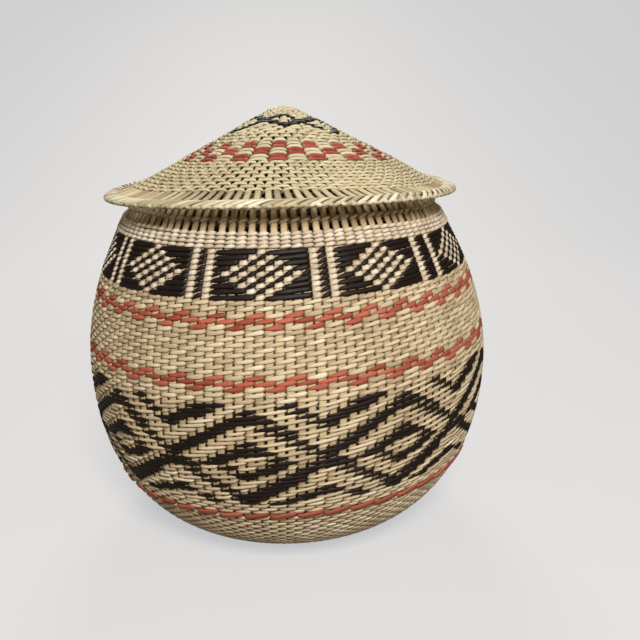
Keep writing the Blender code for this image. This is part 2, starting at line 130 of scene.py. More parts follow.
def lamp(name, place, size, power):
    """A square area lamp that faces the basket and isn't seen itself."""
    data = bpy.data.lights.new(name, "AREA")
    data.size = size
    data.energy = power
    light = bpy.data.objects.new(name, data)
    light.location = place
    aim = Vector(BASKET_MIDDLE) - Vector(place)
    light.rotation_euler = aim.to_track_quat("-Z", "Y").to_euler()
    light.visible_camera = False
    bpy.context.scene.collection.objects.link(light)


world = bpy.data.worlds.new("sky")
world.use_nodes = True
sky = world.node_tree.nodes["Background"]
camera_sees(world.node_tree, SKY_COLOUR, SKY_SEEN, sky.inputs["Color"])
bpy.context.scene.world = world
bpy.context.scene.view_settings.view_transform = "Standard"
backdrop()
lamp("window", (0.12, -1.14, 1.04), 0.45, 21.5)
lamp("behind", (-0.05, 1.20, 0.85), 0.5, 8.0)
print("stage and lamps made")

# %% [markdown]
# ## Shader sums in Python
#
# A material here is a chain of small sums on noise and on values stored in the mesh. Wired by
# hand, such a chain is long and hard to read. A thin class round a node's output lets the
# sums be written as Python sums, and each operator adds its own Math node.


# %% Shader sums
class Wire:
    """One output of a material's nodes. Python's operators on it add Math nodes."""

    def __init__(self, tree, socket=None):
        self.tree = tree
        self.socket = socket

    def add(self, kind, inputs, settings=(), output=0):
        """Add any other node: first its settings, then each input's value or link."""
        node = self.tree.nodes.new("ShaderNode" + kind)
        for name, value in dict(settings).items():
            if name == "stops":
                Wire.fill_ramp(node.color_ramp, value)
            else:
                setattr(node, name, value)
        for name, value in inputs.items():
            if isinstance(value, Wire):
                self.tree.links.new(value.socket, node.inputs[name])
            else:
                node.inputs[name].default_value = value
        return Wire(self.tree, node.outputs[output])

    @staticmethod
    def fill_ramp(ramp, stops):
        """Give a colour ramp its stops, as (position, colour) pairs."""
        while len(ramp.elements) < len(stops):
            ramp.elements.new(0.5)
        for element, (position, colour) in zip(ramp.elements, stops):
            element.position = position
            element.color = (*colour, 1.0)

    def maths(self, operation, first, second=0.0):
        """One Math node."""
        return self.add("Math", {0: first, 1: second}, {"operation": operation})

    def __add__(self, other):
        return self.maths("ADD", self, other)

    def __radd__(self, other):
        return self.maths("ADD", other, self)

    def __sub__(self, other):
        return self.maths("SUBTRACT", self, other)

    def __rsub__(self, other):
        return self.maths("SUBTRACT", other, self)

    def __mul__(self, other):
        return self.maths("MULTIPLY", self, other)

    def __rmul__(self, other):
        return self.maths("MULTIPLY", other, self)

    def __abs__(self):
        return self.maths("ABSOLUTE", self)

    def step_from(self, low, high):
        """0 below low, 1 above high, and a smooth rise between."""
        inputs = {"Value": self, "From Min": low, "From Max": high}
        return self.add("MapRange", inputs, {"interpolation_type": "SMOOTHSTEP"})

    def noise(self, vector, scale, detail, roughness=0.5):
        """Noise over a vector."""
        inputs = {"Vector": vector, "Scale": scale, "Detail": detail, "Roughness": roughness}
        return self.add("TexNoise", inputs)

    def mix(self, factor, *colours):
        """Mix two colours, each a wire or (red, green, blue)."""
        first, second = [c if isinstance(c, Wire) else (*c, 1.0) for c in colours]
        inputs = {0: factor, 6: first, 7: second}
        return self.add("Mix", inputs, {"data_type": "RGBA"}, output=2)


def colour(red, green, blue):
    """A colour read as 0 to 255 on a screen, made linear for a shader."""
    parts = [v / 255 for v in (red, green, blue)]
    return tuple(v / 12.92 if v <= 0.04045 else ((v + 0.055) / 1.055) ** 2.4 for v in parts)


print("mid grey is", round(colour(128, 128, 128)[0], 3))

# %% [markdown]
# ## Split stems
#
# Every strand is a split stem, dry and matt, with fine fibres along it. No two have the same
# tone: some are grey-beige, some cream, some yellow. The mesh carries what differs from strand
# to strand. The attribute "tone" is one random number for each stitch, "dye" is 0 for natural,
# 1 for black and 2 for red, "out" is 1 where the strand passes over the outside and -1 where
# it lies behind, and the UV map runs along the strand in centimetres and once round it. Noise
# that is stretched along the strand then gives the fibres, both as colour and as bump. Light
# and shade are also painted into the colour: each strand has painted shade at its edges and
# more painted shade the deeper it dips, and it is painted lighter where it stands out.

# %% The straw material
BLACK_DYE = (colour(14, 7, 5), colour(44, 32, 26))
RED_DYE = (colour(124, 44, 32), colour(210, 116, 90))
LID_RED_DYE = (colour(128, 44, 36), colour(200, 98, 80))
# Painted shade colour for a strand's edges, where its neighbours shade it.
EDGE_SHADE = colour(106, 87, 60)
# Painted shade colour for where a strand dips behind the stakes.
DIP_SHADE = colour(62, 52, 33)
STAIN = colour(156, 122, 84)
FIBRE_SCALE = (1.6, 16.0, 1.0)
MOTTLE_SCALE = (2.2, 2.0, 1.0)
PATCH_SCALE = 14.0
FIBRE_WEIGHT = 0.75
PATCH_WEIGHT = 0.70
# How much lighter a strand is painted where it stands out, as a painted highlight, and darker
# where it lies back.
OUT_LIGHT_SHADE_WEIGHT = 0.30
STAIN_WEIGHT = 0.30
DIP_SHADE_WEIGHT = 0.75


def straw_material(name, *tones, red=RED_DYE, shade=0.30, spread=0.62, middle=0.5):
    """Split stems, natural or dyed as the mesh says, with fibres along them.

    tones is the range of natural colours, each as its place in the range and then red, green
    and blue as on a screen. spread is the part of the range that differs from stitch to
    stitch, about the given middle, and shade is how dark the painted shade at a strand's edges
    is.
    """
    material = bpy.data.materials.new(name)
    material.use_nodes = True
    tree = material.node_tree
    shader = tree.nodes["Principled BSDF"]
    wire = Wire(tree)
    tone, dye, out = [
        wire.add("Attribute", {}, {"attribute_name": label}, output="Fac")
        for label in ("tone", "dye", "out")
    ]
    round_it = wire.add("UVMap", {}, {"uv_map": "strand"})
    on_piece = wire.add("TexCoord", {}, output="Object")
    fine = wire.add("Mapping", {"Vector": round_it, "Scale": FIBRE_SCALE})
    coarse = wire.add("Mapping", {"Vector": round_it, "Scale": MOTTLE_SCALE})
    fibre = wire.noise(fine, 1.0, 3.0, 0.6)
    mottle = wire.noise(coarse, 1.0, 2.0)
    patch = wire.noise(on_piece, PATCH_SCALE, 3.0)
    level = (tone - 0.5) * spread + (fibre - 0.5) * FIBRE_WEIGHT
    # The last term is painted light and shade: lighter where the strand stands out, darker where
    # it lies back.
    level = level + (patch - 0.5) * PATCH_WEIGHT + middle + (out - 0.85) * OUT_LIGHT_SHADE_WEIGHT
    stops = [(place, colour(*screen)) for place, *screen in tones]
    natural = wire.add("ValToRGB", {"Fac": level}, {"stops": stops})
    streak = (fibre * 1.4 - 0.2).step_from(0.0, 1.0)
    natural = wire.mix(mottle.step_from(0.60, 0.78) * STAIN_WEIGHT, natural, STAIN)
    dark = wire.mix(streak, *BLACK_DYE)
    warm = wire.mix((streak + tone) * 0.5, *red)
    is_black = dye.step_from(0.3, 0.6) * (1 - dye.step_from(1.3, 1.6))
    is_red = dye.step_from(1.3, 1.6)
    base = wire.mix(is_red, wire.mix(is_black, natural, dark), warm)
    # Painted shade: each natural or red strand darkens towards its edges, standing in for the
    # shade between neighbouring strands.
    across = wire.add("SeparateXYZ", {0: round_it}, output="Y")
    face = abs(wire.maths("SINE", across * (2 * math.pi)))
    edge = (1 - face.step_from(0.0, 0.75)) * shade * (1 - is_black)
    base = wire.mix(edge, base, EDGE_SHADE)
    # Painted shade: the deeper a strand lies behind the stakes, the darker it is painted.
    dip_shade = (1 - out.step_from(-0.3, 0.85)) * DIP_SHADE_WEIGHT
    base = wire.mix(dip_shade, base, DIP_SHADE)
    tree.links.new(base.socket, shader.inputs["Base Color"])
    rough = 0.62 + (fibre - 0.5) * 0.3 - is_black * 0.12
    tree.links.new(rough.socket, shader.inputs["Roughness"])
    bump = wire.add("Bump", {"Height": fibre, "Strength": 0.35, "Distance": 0.0004})
    tree.links.new(bump.socket, shader.inputs["Normal"])
    shader.inputs["Specular IOR Level"].default_value = 0.20
    return material


weft_straw = straw_material(
    "weft_straw", (0.00, 160, 138, 110), (0.30, 194, 171, 138), (0.55, 214, 193, 157),
    (0.80, 225, 204, 167), (1.00, 244, 231, 204), middle=0.53,
)
bead_straw = straw_material(
    "bead_straw", (0.00, 164, 144, 118), (0.35, 204, 185, 157), (0.70, 226, 208, 182),
    (1.00, 243, 231, 212), spread=0.50, middle=0.62,
)
lid_straw = straw_material(
    "lid_straw", (0.00, 172, 156, 122), (0.35, 203, 188, 150), (0.70, 222, 207, 166),
    (1.00, 240, 230, 196), red=LID_RED_DYE, spread=0.40,
)
stake_straw = straw_material(
    "stake_straw", (0.00, 146, 121, 85), (0.35, 182, 157, 116), (0.70, 202, 178, 135),
    (1.00, 216, 194, 154), shade=0.35,
)
bare_straw = straw_material(
    "bare_straw", (0.00, 138, 112, 76), (0.35, 180, 152, 110), (0.70, 208, 181, 138),
    (1.00, 228, 206, 166), shade=0.35,
)
# The plait's strands carry the strongest painted shade at their edges.
pale_straw = straw_material(
    "pale_straw", (0.00, 126, 109, 72), (0.30, 186, 170, 130), (0.65, 228, 214, 178),
    (1.00, 250, 242, 214), shade=0.90, spread=0.75,
)
lid_stake_straw = straw_material(
    "lid_stake_straw", (0.00, 146, 126, 98), (0.40, 180, 160, 126), (0.80, 214, 194, 152),
    (1.00, 228, 208, 160), shade=0.4,
)
print("materials", [m.name for m in bpy.data.materials if m.name.endswith("straw")])

# %% [markdown]
# ## Meshes from whole arrays
#
# All the strands are grids: so many points along, and six round the section. One function
# turns such a grid into a mesh, with its UV map and its attributes, in a few whole-array
# steps. Building the same mesh vertex by vertex in Python would take minutes.

# %% Grid of strands to mesh
# A section is a flat hexagon. These are its corners, as parts of the width and thickness.
SECTION_X = np.array([0.5, 0.30, -0.30, -0.5, -0.30, 0.30])
SECTION_Y = np.array([0.0, 0.5, 0.5, 0.0, -0.5, -0.5])
CENTIMETRES = 100
CAP_UV = 0.25


def strand_mesh(name, points, along, tone, dye, out, material, closed):
    """One object of many strands.

    points[strand, i, j] is the j-th corner of the i-th section, along[strand, i] is the
    length to it in metres, and out[strand, i] says how far out it lies, from -1 to 1. tone
    and dye hold one number for each stretch between sections.
    A closed strand's last section joins its first. An open one gets two flat ends, each of
    two quads.
    """
    strands, count, sides, _ = points.shape
    spans = count if closed else count - 1
    i = np.arange(spans)[:, None]
    j = np.arange(sides)
    corners = [(i, j), (i, j + 1), (i + 1, j + 1), (i + 1, j)]
    quads = [(a % count) * sides + b % sides for a, b in corners]
    quads = np.stack(quads, axis=-1).reshape(-1, 4)
    base = (np.arange(strands) * count * sides)[:, None, None]
    faces = (quads[None] + base).reshape(-1, 4)
    if closed:
        along = np.concatenate([along, along[:, -1:] + along[:, 1:2] - along[:, :1]], axis=1)
    low = along[:, :-1] * CENTIMETRES
    high = along[:, 1:] * CENTIMETRES
    u = np.stack([low, low, high, high], axis=-1)[:, :, None, :]
    v = np.stack([j, j + 1, j + 1, j], axis=-1) / sides
    uv = np.stack(np.broadcast_arrays(u, v), axis=-1).reshape(-1, 2)
    tones = np.repeat(tone, sides)
    dyes = np.repeat(dye, sides)
    if not closed:
        cap = np.array([[0, 3, 2, 1], [0, 5, 4, 3]])
        last = (count - 1) * sides + cap[:, ::-1]
        caps = (np.concatenate([cap, last])[None] + base).reshape(-1, 4)
        faces = np.concatenate([faces, caps])
        uv = np.concatenate([uv, np.full((caps.size, 2), CAP_UV)])
        tones = np.concatenate([tones, np.repeat(tone[:, 0], 4)])
        dyes = np.concatenate([dyes, np.repeat(dye[:, 0], 4)])
    mesh = bpy.data.meshes.new(name)
    mesh.vertices.add(points.size // 3)
    mesh.vertices.foreach_set("co", points.astype(np.float32).ravel())
    mesh.loops.add(faces.size)
    mesh.loops.foreach_set("vertex_index", faces.astype(np.int32).ravel())
    mesh.polygons.add(len(faces))
    mesh.polygons.foreach_set("loop_start", np.arange(0, faces.size, 4, dtype=np.int32))
    mesh.update(calc_edges=True)
    layer = mesh.uv_layers.new(name="strand")
    layer.uv.foreach_set("vector", uv.astype(np.float32).ravel())
    outs = np.repeat(np.broadcast_to(out, (strands, count)), sides)
    for label, domain, values in (
        ("tone", "FACE", tones), ("dye", "FACE", dyes), ("out", "POINT", outs)
    ):
        attribute = mesh.attributes.new(label, "FLOAT", domain)
        attribute.data.foreach_set("value", values.astype(np.float32))
    mesh.shade_smooth()
    mesh.materials.append(material)
    piece = bpy.data.objects.new(name, mesh)
    bpy.context.scene.collection.objects.link(piece)
    return piece


def around(angle, radius, height):
    """Points at an angle about the Z axis, a radius and a height."""
    parts = np.broadcast_arrays(radius * np.cos(angle), radius * np.sin(angle), height)
    return np.stack(parts, axis=-1)


def smooth(share):
    """3 share^2 - 2 share^3, which rises from 0 to 1 and is level at both ends."""
    share = np.clip(share, 0, 1)
    return share * share * (3 - 2 * share)


triangles = {}


def finish_piece(piece, body, slot, *nodes):
    """Say what a piece rides on and which solids it stands for. slot, the finish, is not used."""
    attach(piece, body)
    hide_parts(*nodes)
    triangles[piece.name] = 2 * len(piece.data.polygons)
    print(piece.name, triangles[piece.name], "triangles")


# %% [markdown]
# ## The outline
#
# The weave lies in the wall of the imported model, so its outline comes first: flat underneath,
# then a quarter of a superellipse up to the belly, then a curve that closes in to the mouth.
# Rows are a fixed distance apart along the wall and not in height, so the outline is kept
# as a table by its own length, from the middle of the underside up to the mouth.

# %% Outline of the basket
BELLY_RADIUS = 0.125
BELLY_HEIGHT = 0.107
FOOT_RADIUS = 0.050
MOUTH_RADIUS = 0.0870
MOUTH_HEIGHT = 0.2119
LOWER_POWER = 2.2
UPPER_POWER = 1.9
WALL = 0.0040


def profile(radius, height):
    """A curve's length up to each point, its points, and the normal on the right of it."""
    length = np.concatenate([[0], np.cumsum(np.hypot(np.diff(radius), np.diff(height)))])
    d_radius = np.gradient(radius, length)
    d_height = np.gradient(height, length)
    size = np.hypot(d_radius, d_height)
    return length, radius, height, d_height / size, -d_radius / size


def outline_table():
    """Length, radius, height and outward normal along the basket's outer face.

    Underneath: radius = length, height 0. Bowl: radius = foot + spread * sin(a) and
    height = belly * (1 - cos(a) ^ (2 / power)). Above: radius = belly radius - drop * share ^
    power, share being the height over the belly as a part of all of it.
    """
    flat = np.linspace(0, FOOT_RADIUS, 60)[:-1]
    a = np.linspace(0, math.pi / 2, 300)[:-1]
    up = np.linspace(0, 1, 300)
    radius = np.concatenate([
        flat,
        FOOT_RADIUS + (BELLY_RADIUS - FOOT_RADIUS) * np.sin(a),
        BELLY_RADIUS - (BELLY_RADIUS - MOUTH_RADIUS) * up**UPPER_POWER,
    ])
    height = np.concatenate([
        0 * flat,
        BELLY_HEIGHT * (1 - np.cos(a) ** (2 / LOWER_POWER)),
        BELLY_HEIGHT + (MOUTH_HEIGHT - BELLY_HEIGHT) * up,
    ])
    return profile(radius, height)


OUTLINE = outline_table()


def on_wall(length):
    """Radius, height and normal on the wall's outer face, at a length along it."""
    return [np.interp(length, OUTLINE[0], column) for column in OUTLINE[1:]]


def length_at(height):
    """Length along the wall at a height over the underside."""
    start = np.searchsorted(OUTLINE[2], 1e-9) - 1
    return float(np.interp(height, OUTLINE[2][start:], OUTLINE[0][start:]))


print("length along the wall to the mouth", round(float(OUTLINE[0][-1]) * 1000, 1), "mm")

# %% [markdown]
# ## Slope, sag and lean
#
# Measured on the photograph, the rows rise to the right by 2 to 3 degrees, more so low down,
# while the outline stays almost upright. A hand-woven basket is seldom level. So each row is
# slid along the wall by its slope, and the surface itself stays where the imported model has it.
# The shoulder's rows sag on the right, and the basket's axis bends to the left by 2.3 mm at
# most.

# %% Slope of the rows
SLOPE_AT_BELLY = math.radians(2.49)
SLOPE_CHANGE = math.radians(-1.116) / 0.1
MIDDLE_HEIGHT = 0.100
FULL_SLOPE_FROM = 0.0433
LEAST_STEEP = 0.6
SAG_FROM = 0.155
SAG_REACH = 0.035
SAG = 0.0025
LEAN = -0.00036
BEND = -0.0015


def slid(length, angle):
    """Length along the wall once a row has been slid by its slope and its sag.

    The slope adds radius * tan(slope) * cos(angle), faded out down the bowl and divided by
    the wall's steepness. The sag takes off SAG * max(cos(angle), 0)^2, eased in over the
    panels.
    """
    radius, height, normal_r, _ = on_wall(length)
    slope = SLOPE_AT_BELLY + SLOPE_CHANGE * (height - MIDDLE_HEIGHT)
    fade = smooth(height / FULL_SLOPE_FROM)
    steep = np.maximum(normal_r, LEAST_STEEP)
    sag = SAG * smooth((height - SAG_FROM) / SAG_REACH) * np.maximum(np.cos(angle), 0) ** 2
    return length + fade * radius * np.tan(slope) * np.cos(angle) / steep - sag


def leaned(points):
    """The axis bends: x moves by LEAN * s + BEND * s^2, s being the height over the middle
    in units of 10 cm.
    """
    share = (points[..., 2] - MIDDLE_HEIGHT) / 0.1
    out = points.copy()
    out[..., 0] += LEAN * share + BEND * share**2
    return out


print("slope of the rows at the belly", round(math.degrees(SLOPE_AT_BELLY), 2), "degrees")

# %% [markdown]
# ## Twining
#
# In a row of twining two wefts take turns: while one passes over the outside of one or more
# stakes, the other passes behind them, and between two stakes they swap. The one that goes in
# ends high and the one that comes out starts low, so every stitch leans the same way. So a
# row is fully described by its stitches: how many stakes each one covers, and its colour. One
# function lays both wefts of each row out flat, and another puts them into the wall.
#
# For each weft the way out of the wall is a smooth swap between +1 and -1 at each turn, and
# the height in the row runs straight from low to high across a stitch outside, and back down
# behind. The swap comes a little late for the weft that goes in, and the weft lies flatter
# and looks thinner where it has just come out. So a stitch has a thin left end under its
# neighbour and a blunt right end that stands out.

# %% Stitches of a row
NATURAL, BLACK, RED = 0, 1, 2
WALL_STAKES = 144
WALL_START = math.radians(1.7)
SAMPLES = np.array([0.02, 0.22, 0.60, 0.76])
LIFT_SPREAD = 0.12
WIDTH_SPREAD = 0.22
LEFT_END_STAKES = 1.3
SWAP_WIDTH = 0.72
SLIDE_PROBE = 0.0005
rng = np.random.default_rng(11)


def lay_out(stitches, offset, stakes):
    """Spread a row's stitches, as (stakes covered, dye), over the stakes.

    Gives for each stake the place within its stitch, the stitch's length and number, and the
    dye of that stitch and of both its neighbours.
    """
    lengths = np.array([s[0] for s in stitches])
    dyes = np.array([s[1] for s in stitches], dtype=float)
    if lengths.sum() != stakes or len(stitches) % 2:
        raise ValueError(f"row of {lengths.sum()} stakes and {len(stitches)} stitches")
    number = np.repeat(np.arange(len(lengths)), lengths)
    starts = np.concatenate([[0], np.cumsum(lengths)[:-1]])
    within = np.arange(stakes) - starts[number]
    columns = [
        within,
        lengths[number],
        number,
        dyes[number],
        dyes[(number - 1) % len(dyes)],
        dyes[(number + 1) % len(dyes)],
    ]
    return [np.roll(column, offset) for column in columns]


def swap(before, after, where, late_in=(0.12, 0.20), early_out=(0.04, 0.34)):
    """Way in or out at a turn: half a sine from one side to the other.

    where is the distance in stakes from the turn. A weft that goes in swaps late and fast.
    """
    going_in = (before > 0) & (after < 0)
    shift = np.where(going_in, late_in[0], early_out[0])
    reach = np.where(going_in, late_in[1], early_out[1])
    share = np.clip((where - shift) / reach, -1, 1)
    blend = 0.5 + 0.5 * np.sin(share * math.pi / 2)
    return before * (1 - blend) + after * blend


def weft_lines(rows, stakes, *, wide=(0.0024, 0.0017), lift=(0.00080, 0.00070, 0.00066),
               black_lift=None, bow=0.0, left=(0.62, 0.68), bead=1.0, black_wide=1.0):
    """Way out, height in the row, tone, dye and width along both wefts of each row.

    With p, the part of a stitch already passed, the height in the row = side * lift * (2 p - 1)
    + bow * (1 - (2 p - 1) ^ 2). lift has one number for stitches over one stake, two stakes,
    and three or more. wide is the width outside and behind. left holds the share of the way
    out and of the width at a stitch's left end. Natural stitches over a single stake are wider
    by the factor bead, and black ones by black_wide.
    """
    table = [lay_out(stitches, offset, stakes) for _, stitches, offset in rows]
    within, covers, number, dye, dye_before, dye_after = [
        np.array(column)[:, :, None] for column in zip(*table)
    ]
    each = (len(rows), stakes, 1)
    fraction = SAMPLES[None, None, :]
    p = (within + fraction) / covers
    strands = []
    for weft in (1, -1):
        now = weft * (1 - 2 * (number % 2))
        before = np.roll(now, 1, axis=1)
        after = np.roll(now, -1, axis=1)
        radial = np.where(
            fraction < 0.5, swap(before, now, fraction), swap(now, after, fraction - 1)
        )
        dye_now = np.where(now > 0, dye, np.where(p < 0.5, dye_before, dye_after))
        black = np.abs(dye_now - BLACK) < 0.5
        reach = np.minimum(covers, len(lift)) - 1
        lifts = np.where(black, np.array(black_lift or lift)[reach], np.array(lift)[reach])
        noise = rng.normal(0, LIFT_SPREAD, each)
        noise = np.take_along_axis(noise, number % stakes, axis=1)
        up = now * lifts * (1 + noise) * (2 * p - 1)
        up = up + np.maximum(now, 0) * bow * (1 - (2 * p - 1) ** 2)
        tone = rng.random(each)
        pick = (number + (weft < 0)) // 2
        tone = np.take_along_axis(tone, pick % stakes, axis=1)
        outside = np.maximum(radial, 0)
        near_left = 1 - np.clip(p * covers / LEFT_END_STAKES, 0, 1)
        radial = radial - outside * (1 - left[0]) * near_left
        uneven = WIDTH_SPREAD * (rng.random(each) - 0.5)
        width = wide[1] + (wide[0] * (1 + uneven) - wide[1]) * outside
        width = width * (1 - outside * (1 - left[1]) * near_left)
        width = width * (SWAP_WIDTH + (1 - SWAP_WIDTH) * np.abs(radial))
        single = (covers == 1) & ~black
        width = width * np.where(single, 1 + (bead - 1) * outside, 1.0)
        width = width * np.where(black, black_wide, 1.0)
        strands.append([radial, up, tone + 0 * p, dye_now, width])
    return [np.stack(parts, axis=1).reshape(2 * len(rows), -1) for parts in zip(*strands)]


def weave(name, rows, stakes, material, *, place=on_wall, slide=slid, bend=leaned,
          start=WALL_START, depth=WALL / 2, swing=0.00135, thick=0.0011, jitter=0.00010, **look):
    """Rows of twining as one object.

    rows holds (length along the wall, stitches, offset in stakes), and look goes to
    weft_lines. A weft's depth in the wall = middle depth - swing * way out. Where slide
    spreads the rows, the wefts widen too. jitter is how far the rows wander up and down.
    """
    count = len(rows)
    radial, up, tone, dye, width = weft_lines(rows, stakes, **look)
    turn = (np.arange(stakes)[:, None] + SAMPLES[None, :]).ravel()
    angle = start + turn * 2 * math.pi / stakes
    base = np.repeat(np.array([row[0] for row in rows]), 2)[:, None]
    wander = sum(
        rng.normal(0, jitter, (count, 1)) * np.cos(k * angle + rng.uniform(0, 6.3, (count, 1)))
        for k in (2, 3, 5, 9)
    )
    length = base + np.repeat(wander, 2, axis=0)
    if slide:
        moved = slide(length, angle[None, :])
        width = width * (slide(length + SLIDE_PROBE, angle[None, :]) - moved) / SLIDE_PROBE
        length = moved
    radius, height, normal_r, normal_z = place(length + up)
    out = swing * radial - depth
    x = width[..., None] * SECTION_X
    y = thick * SECTION_Y + out[..., None]
    ring = radius[..., None] + y * normal_r[..., None] - x * normal_z[..., None]
    rise = height[..., None] + y * normal_z[..., None] + x * normal_r[..., None]
    points = bend(around(angle[None, :, None], ring, rise))
    along = np.broadcast_to(angle[None, :] - start, length.shape) * radius.mean(axis=1)[:, None]
    along = along + rng.uniform(0, 3, (count * 2, 1))
    return strand_mesh(name, points, along, tone, dye, radial, material, closed=True)


# %% [markdown]
# ## Row by row up the wall
#
# The plain field is diagonal twining: each stitch covers two stakes, and the next row starts
# one stake on, so the stitches step up the wall. One helper gives such a row, and the pattern
# rows below differ only in their lists of stitches.

# %% Plain rows, and where the runs of rows lie
BASE_RED_FROM = 0.0433
BASE_RED_TO = 0.0461
DIAMOND_ROWS_FROM = 0.0529
DIAMOND_ROWS_TO = 0.1141
LOWER_STRIPE_FROM = 0.1202
LOWER_STRIPE_TO = 0.1288
UPPER_STRIPE_FROM = 0.1510
UPPER_STRIPE_TO = 0.1596
PANEL_ROWS_FROM = 0.1654
PANEL_ROWS_TO = 0.1895
NECK_FROM = 0.1975
NECK_ROW = 0.2028


def plain(stakes, number, first=NATURAL, second=NATURAL, covers=2):
    """A row of even stitches, whose offset steps on by one stake in each row."""
    pair = [(covers, first), (covers, second)]
    return pair * (stakes // (2 * covers)), number % covers


def even_rows(low, high, count):
    """Lengths along the wall of the middles of so many rows between two lengths."""
    pitch = (high - low) / count
    return [low + pitch * (i + 0.5) for i in range(count)]


def plain_rows(low, high, count, stakes, first_number=0, covers=2):
    """So many plain rows between two lengths along the wall."""
    return [
        (length, *plain(stakes, first_number + i, covers=covers))
        for i, length in enumerate(even_rows(low, high, count))
    ]


def plain_run(low, high, count, first_number=0):
    """Plain rows over the wall's stakes, between two heights."""
    return plain_rows(length_at(low), length_at(high), count, WALL_STAKES, first_number)


middle_rows = plain_run(LOWER_STRIPE_TO, UPPER_STRIPE_FROM, 8)
middle = weave("middle_weave", middle_rows, WALL_STAKES, weft_straw)
finish_piece(middle, "basket", "middle_wall", "middle_wall")

# %% [markdown]
# ## Red stripes
#
# A red stripe is three rows high. In its middle row both wefts are red. In the row below and
# the row above only one is, so red and natural stitches take turns, and the stripe gets its
# stepped edges. The single red line round the base has two red wefts, thick ones whose
# stitches cover three stakes each.


# %% Red stripes
def stripe_run(low, high):
    """Three rows: red and natural, all red, natural and red."""
    low_row, middle_row, high_row = even_rows(length_at(low), length_at(high), 3)
    return [
        (low_row, plain(WALL_STAKES, 0, RED, NATURAL)[0], 1),
        (middle_row, plain(WALL_STAKES, 0, RED, RED)[0], 0),
        (high_row, plain(WALL_STAKES, 0, NATURAL, RED)[0], 1),
    ]


for name, low, high, node in (
    ("lower_stripe_weave", LOWER_STRIPE_FROM, LOWER_STRIPE_TO, "lower_red_stripe"),
    ("upper_stripe_weave", UPPER_STRIPE_FROM, UPPER_STRIPE_TO, "upper_red_stripe"),
):
    stripe = weave(name, stripe_run(low, high), WALL_STAKES, weft_straw, wide=(0.0029, 0.0020))
    finish_piece(stripe, "basket", node, node)
base_line_length = (length_at(BASE_RED_FROM) + length_at(BASE_RED_TO)) / 2
base_line = weave(
    "base_line_weave", [(base_line_length, plain(WALL_STAKES, 0, RED, RED, covers=3)[0], 0)],
    WALL_STAKES, weft_straw, wide=(0.0040, 0.0024), swing=0.0020, lift=(0.0008, 0.0018),
    thick=0.0014, left=(0.80, 0.90),
)
finish_piece(base_line, "basket", "base_red_row", "base_red_row")

# %% [markdown]
# ## Black panels
#
# Nine rows under the shoulder carry a ring of black panels, each eleven stakes wide, with a
# chequered diamond of natural stitches in it. Between two panels stand a natural column, a
# ladder of single black stitches and another natural column. Where the black weft stays
# outside over several stakes it makes one long float, and the stakes show as dashes between
# the floats.

# %% Panels
PANEL_STAKES = 11
PANEL_ROWS = 9
PANEL_START = WALL_START + math.radians(212.5)
LADDER_WIDTHS = (1, 1, 2, 1, 2, 1, 2, 1, 2, 1)


def grouped(cells):
    """Join neighbouring cells of one colour into stitches."""
    stitches = []
    for cell in cells:
        if stitches and stitches[-1][1] == cell:
            stitches[-1] = (stitches[-1][0] + 1, cell)
        else:
            stitches.append((1, cell))
    return stitches


def panel_row(row):
    """One row round: panels, each followed by natural, ladder and natural stitches."""
    half = min(row, PANEL_ROWS - 1 - row)
    middle_stake = PANEL_STAKES // 2
    cells = [
        NATURAL if abs(k - middle_stake) <= half and (k - middle_stake + half) % 2 == 0
        else BLACK
        for k in range(PANEL_STAKES)
    ]
    stitches = []
    for ladder in LADDER_WIDTHS:
        stitches += grouped(cells) + [(1, NATURAL), (ladder, BLACK), (1, NATURAL)]
    return stitches


panel_lengths = even_rows(length_at(PANEL_ROWS_FROM), length_at(PANEL_ROWS_TO), PANEL_ROWS)
panels = weave(
    "panel_weave", [(panel_lengths[i], panel_row(i), 0) for i in range(PANEL_ROWS)],
    WALL_STAKES, bead_straw, start=PANEL_START, wide=(0.0023, 0.0017), black_wide=1.32,
    bead=1.36, lift=(0.00040, 0.0005, 0.0005), black_lift=(0.00100, 0.00080, 0.00060),
    left=(0.8, 0.85),
)
rows_under_panels = plain_run(UPPER_STRIPE_TO, PANEL_ROWS_FROM, 2)
under_panels = weave("under_panel_weave", rows_under_panels, WALL_STAKES, weft_straw)
finish_piece(panels, "basket", "panel_band", "panel_band")
finish_piece(under_panels, "basket", "panel_band", "panel_band")

# %% [markdown]
# ## Diamonds
#
# Twenty-one rows of the lower wall carry nine large black diamonds, side by side. Each has a
# small hollow diamond inside it, and between two of them a black V hangs from the top and
# another stands on the bottom. All are straight slanting lines, so a stitch is black where
# the distance of its stake from such a line is less than half the line's thickness.

# %% Diamonds
DIAMOND_ROWS = 21
LOW_DIAMOND_ROWS = 11
DIAMOND_STAKES = 16
DIAMOND_START = WALL_START + math.radians(277.5)


def is_black(stake, row):
    """Whether the diamond pattern is black at a stake and a row of one diamond.

    x and y are measured from the diamond's middle, and u from the join to the next one. The
    large diamond lies along |x| + slant |y| = 8.2, the small one along |x| + 1.1 |v| = 3.6, v
    from a middle 0.8 rows lower, and the V along |u| = spread (|y| - tip). The lower half is
    a little taller. A line that rises to the right is broader.
    """
    x = stake + 0.5 - DIAMOND_STAKES / 2
    y = row - (DIAMOND_ROWS - 1) / 2
    v = y + 0.8
    u = x - math.copysign(DIAMOND_STAKES / 2, x)
    slant, spread, tip = (0.95, 1.1, 6.3) if y > 0 else (0.86, 1.6, 7.3)
    large = abs(abs(x) + slant * abs(y) - 8.2) < (1.7 if x * y < 0 else 1.1)
    small = abs(abs(x) + 1.1 * abs(v) - 3.6) < (1.4 if x * v < 0 else 1.15)
    vee = abs(y) > tip - 1 and abs(abs(u) - spread * (abs(y) - tip)) < (1.7 if u * y > 0 else 1.1)
    return large or small or vee


def broken(stitches):
    """Break long natural runs into stitches of two or three stakes."""
    parts = []
    for length, dye in stitches:
        if dye == NATURAL and length > 3:
            pieces = round(length / 2.6)
            edges = [round(length * i / pieces) for i in range(pieces + 1)]
            parts += [(edges[i + 1] - edges[i], dye) for i in range(pieces)]
        else:
            parts.append((length, dye))
    return parts


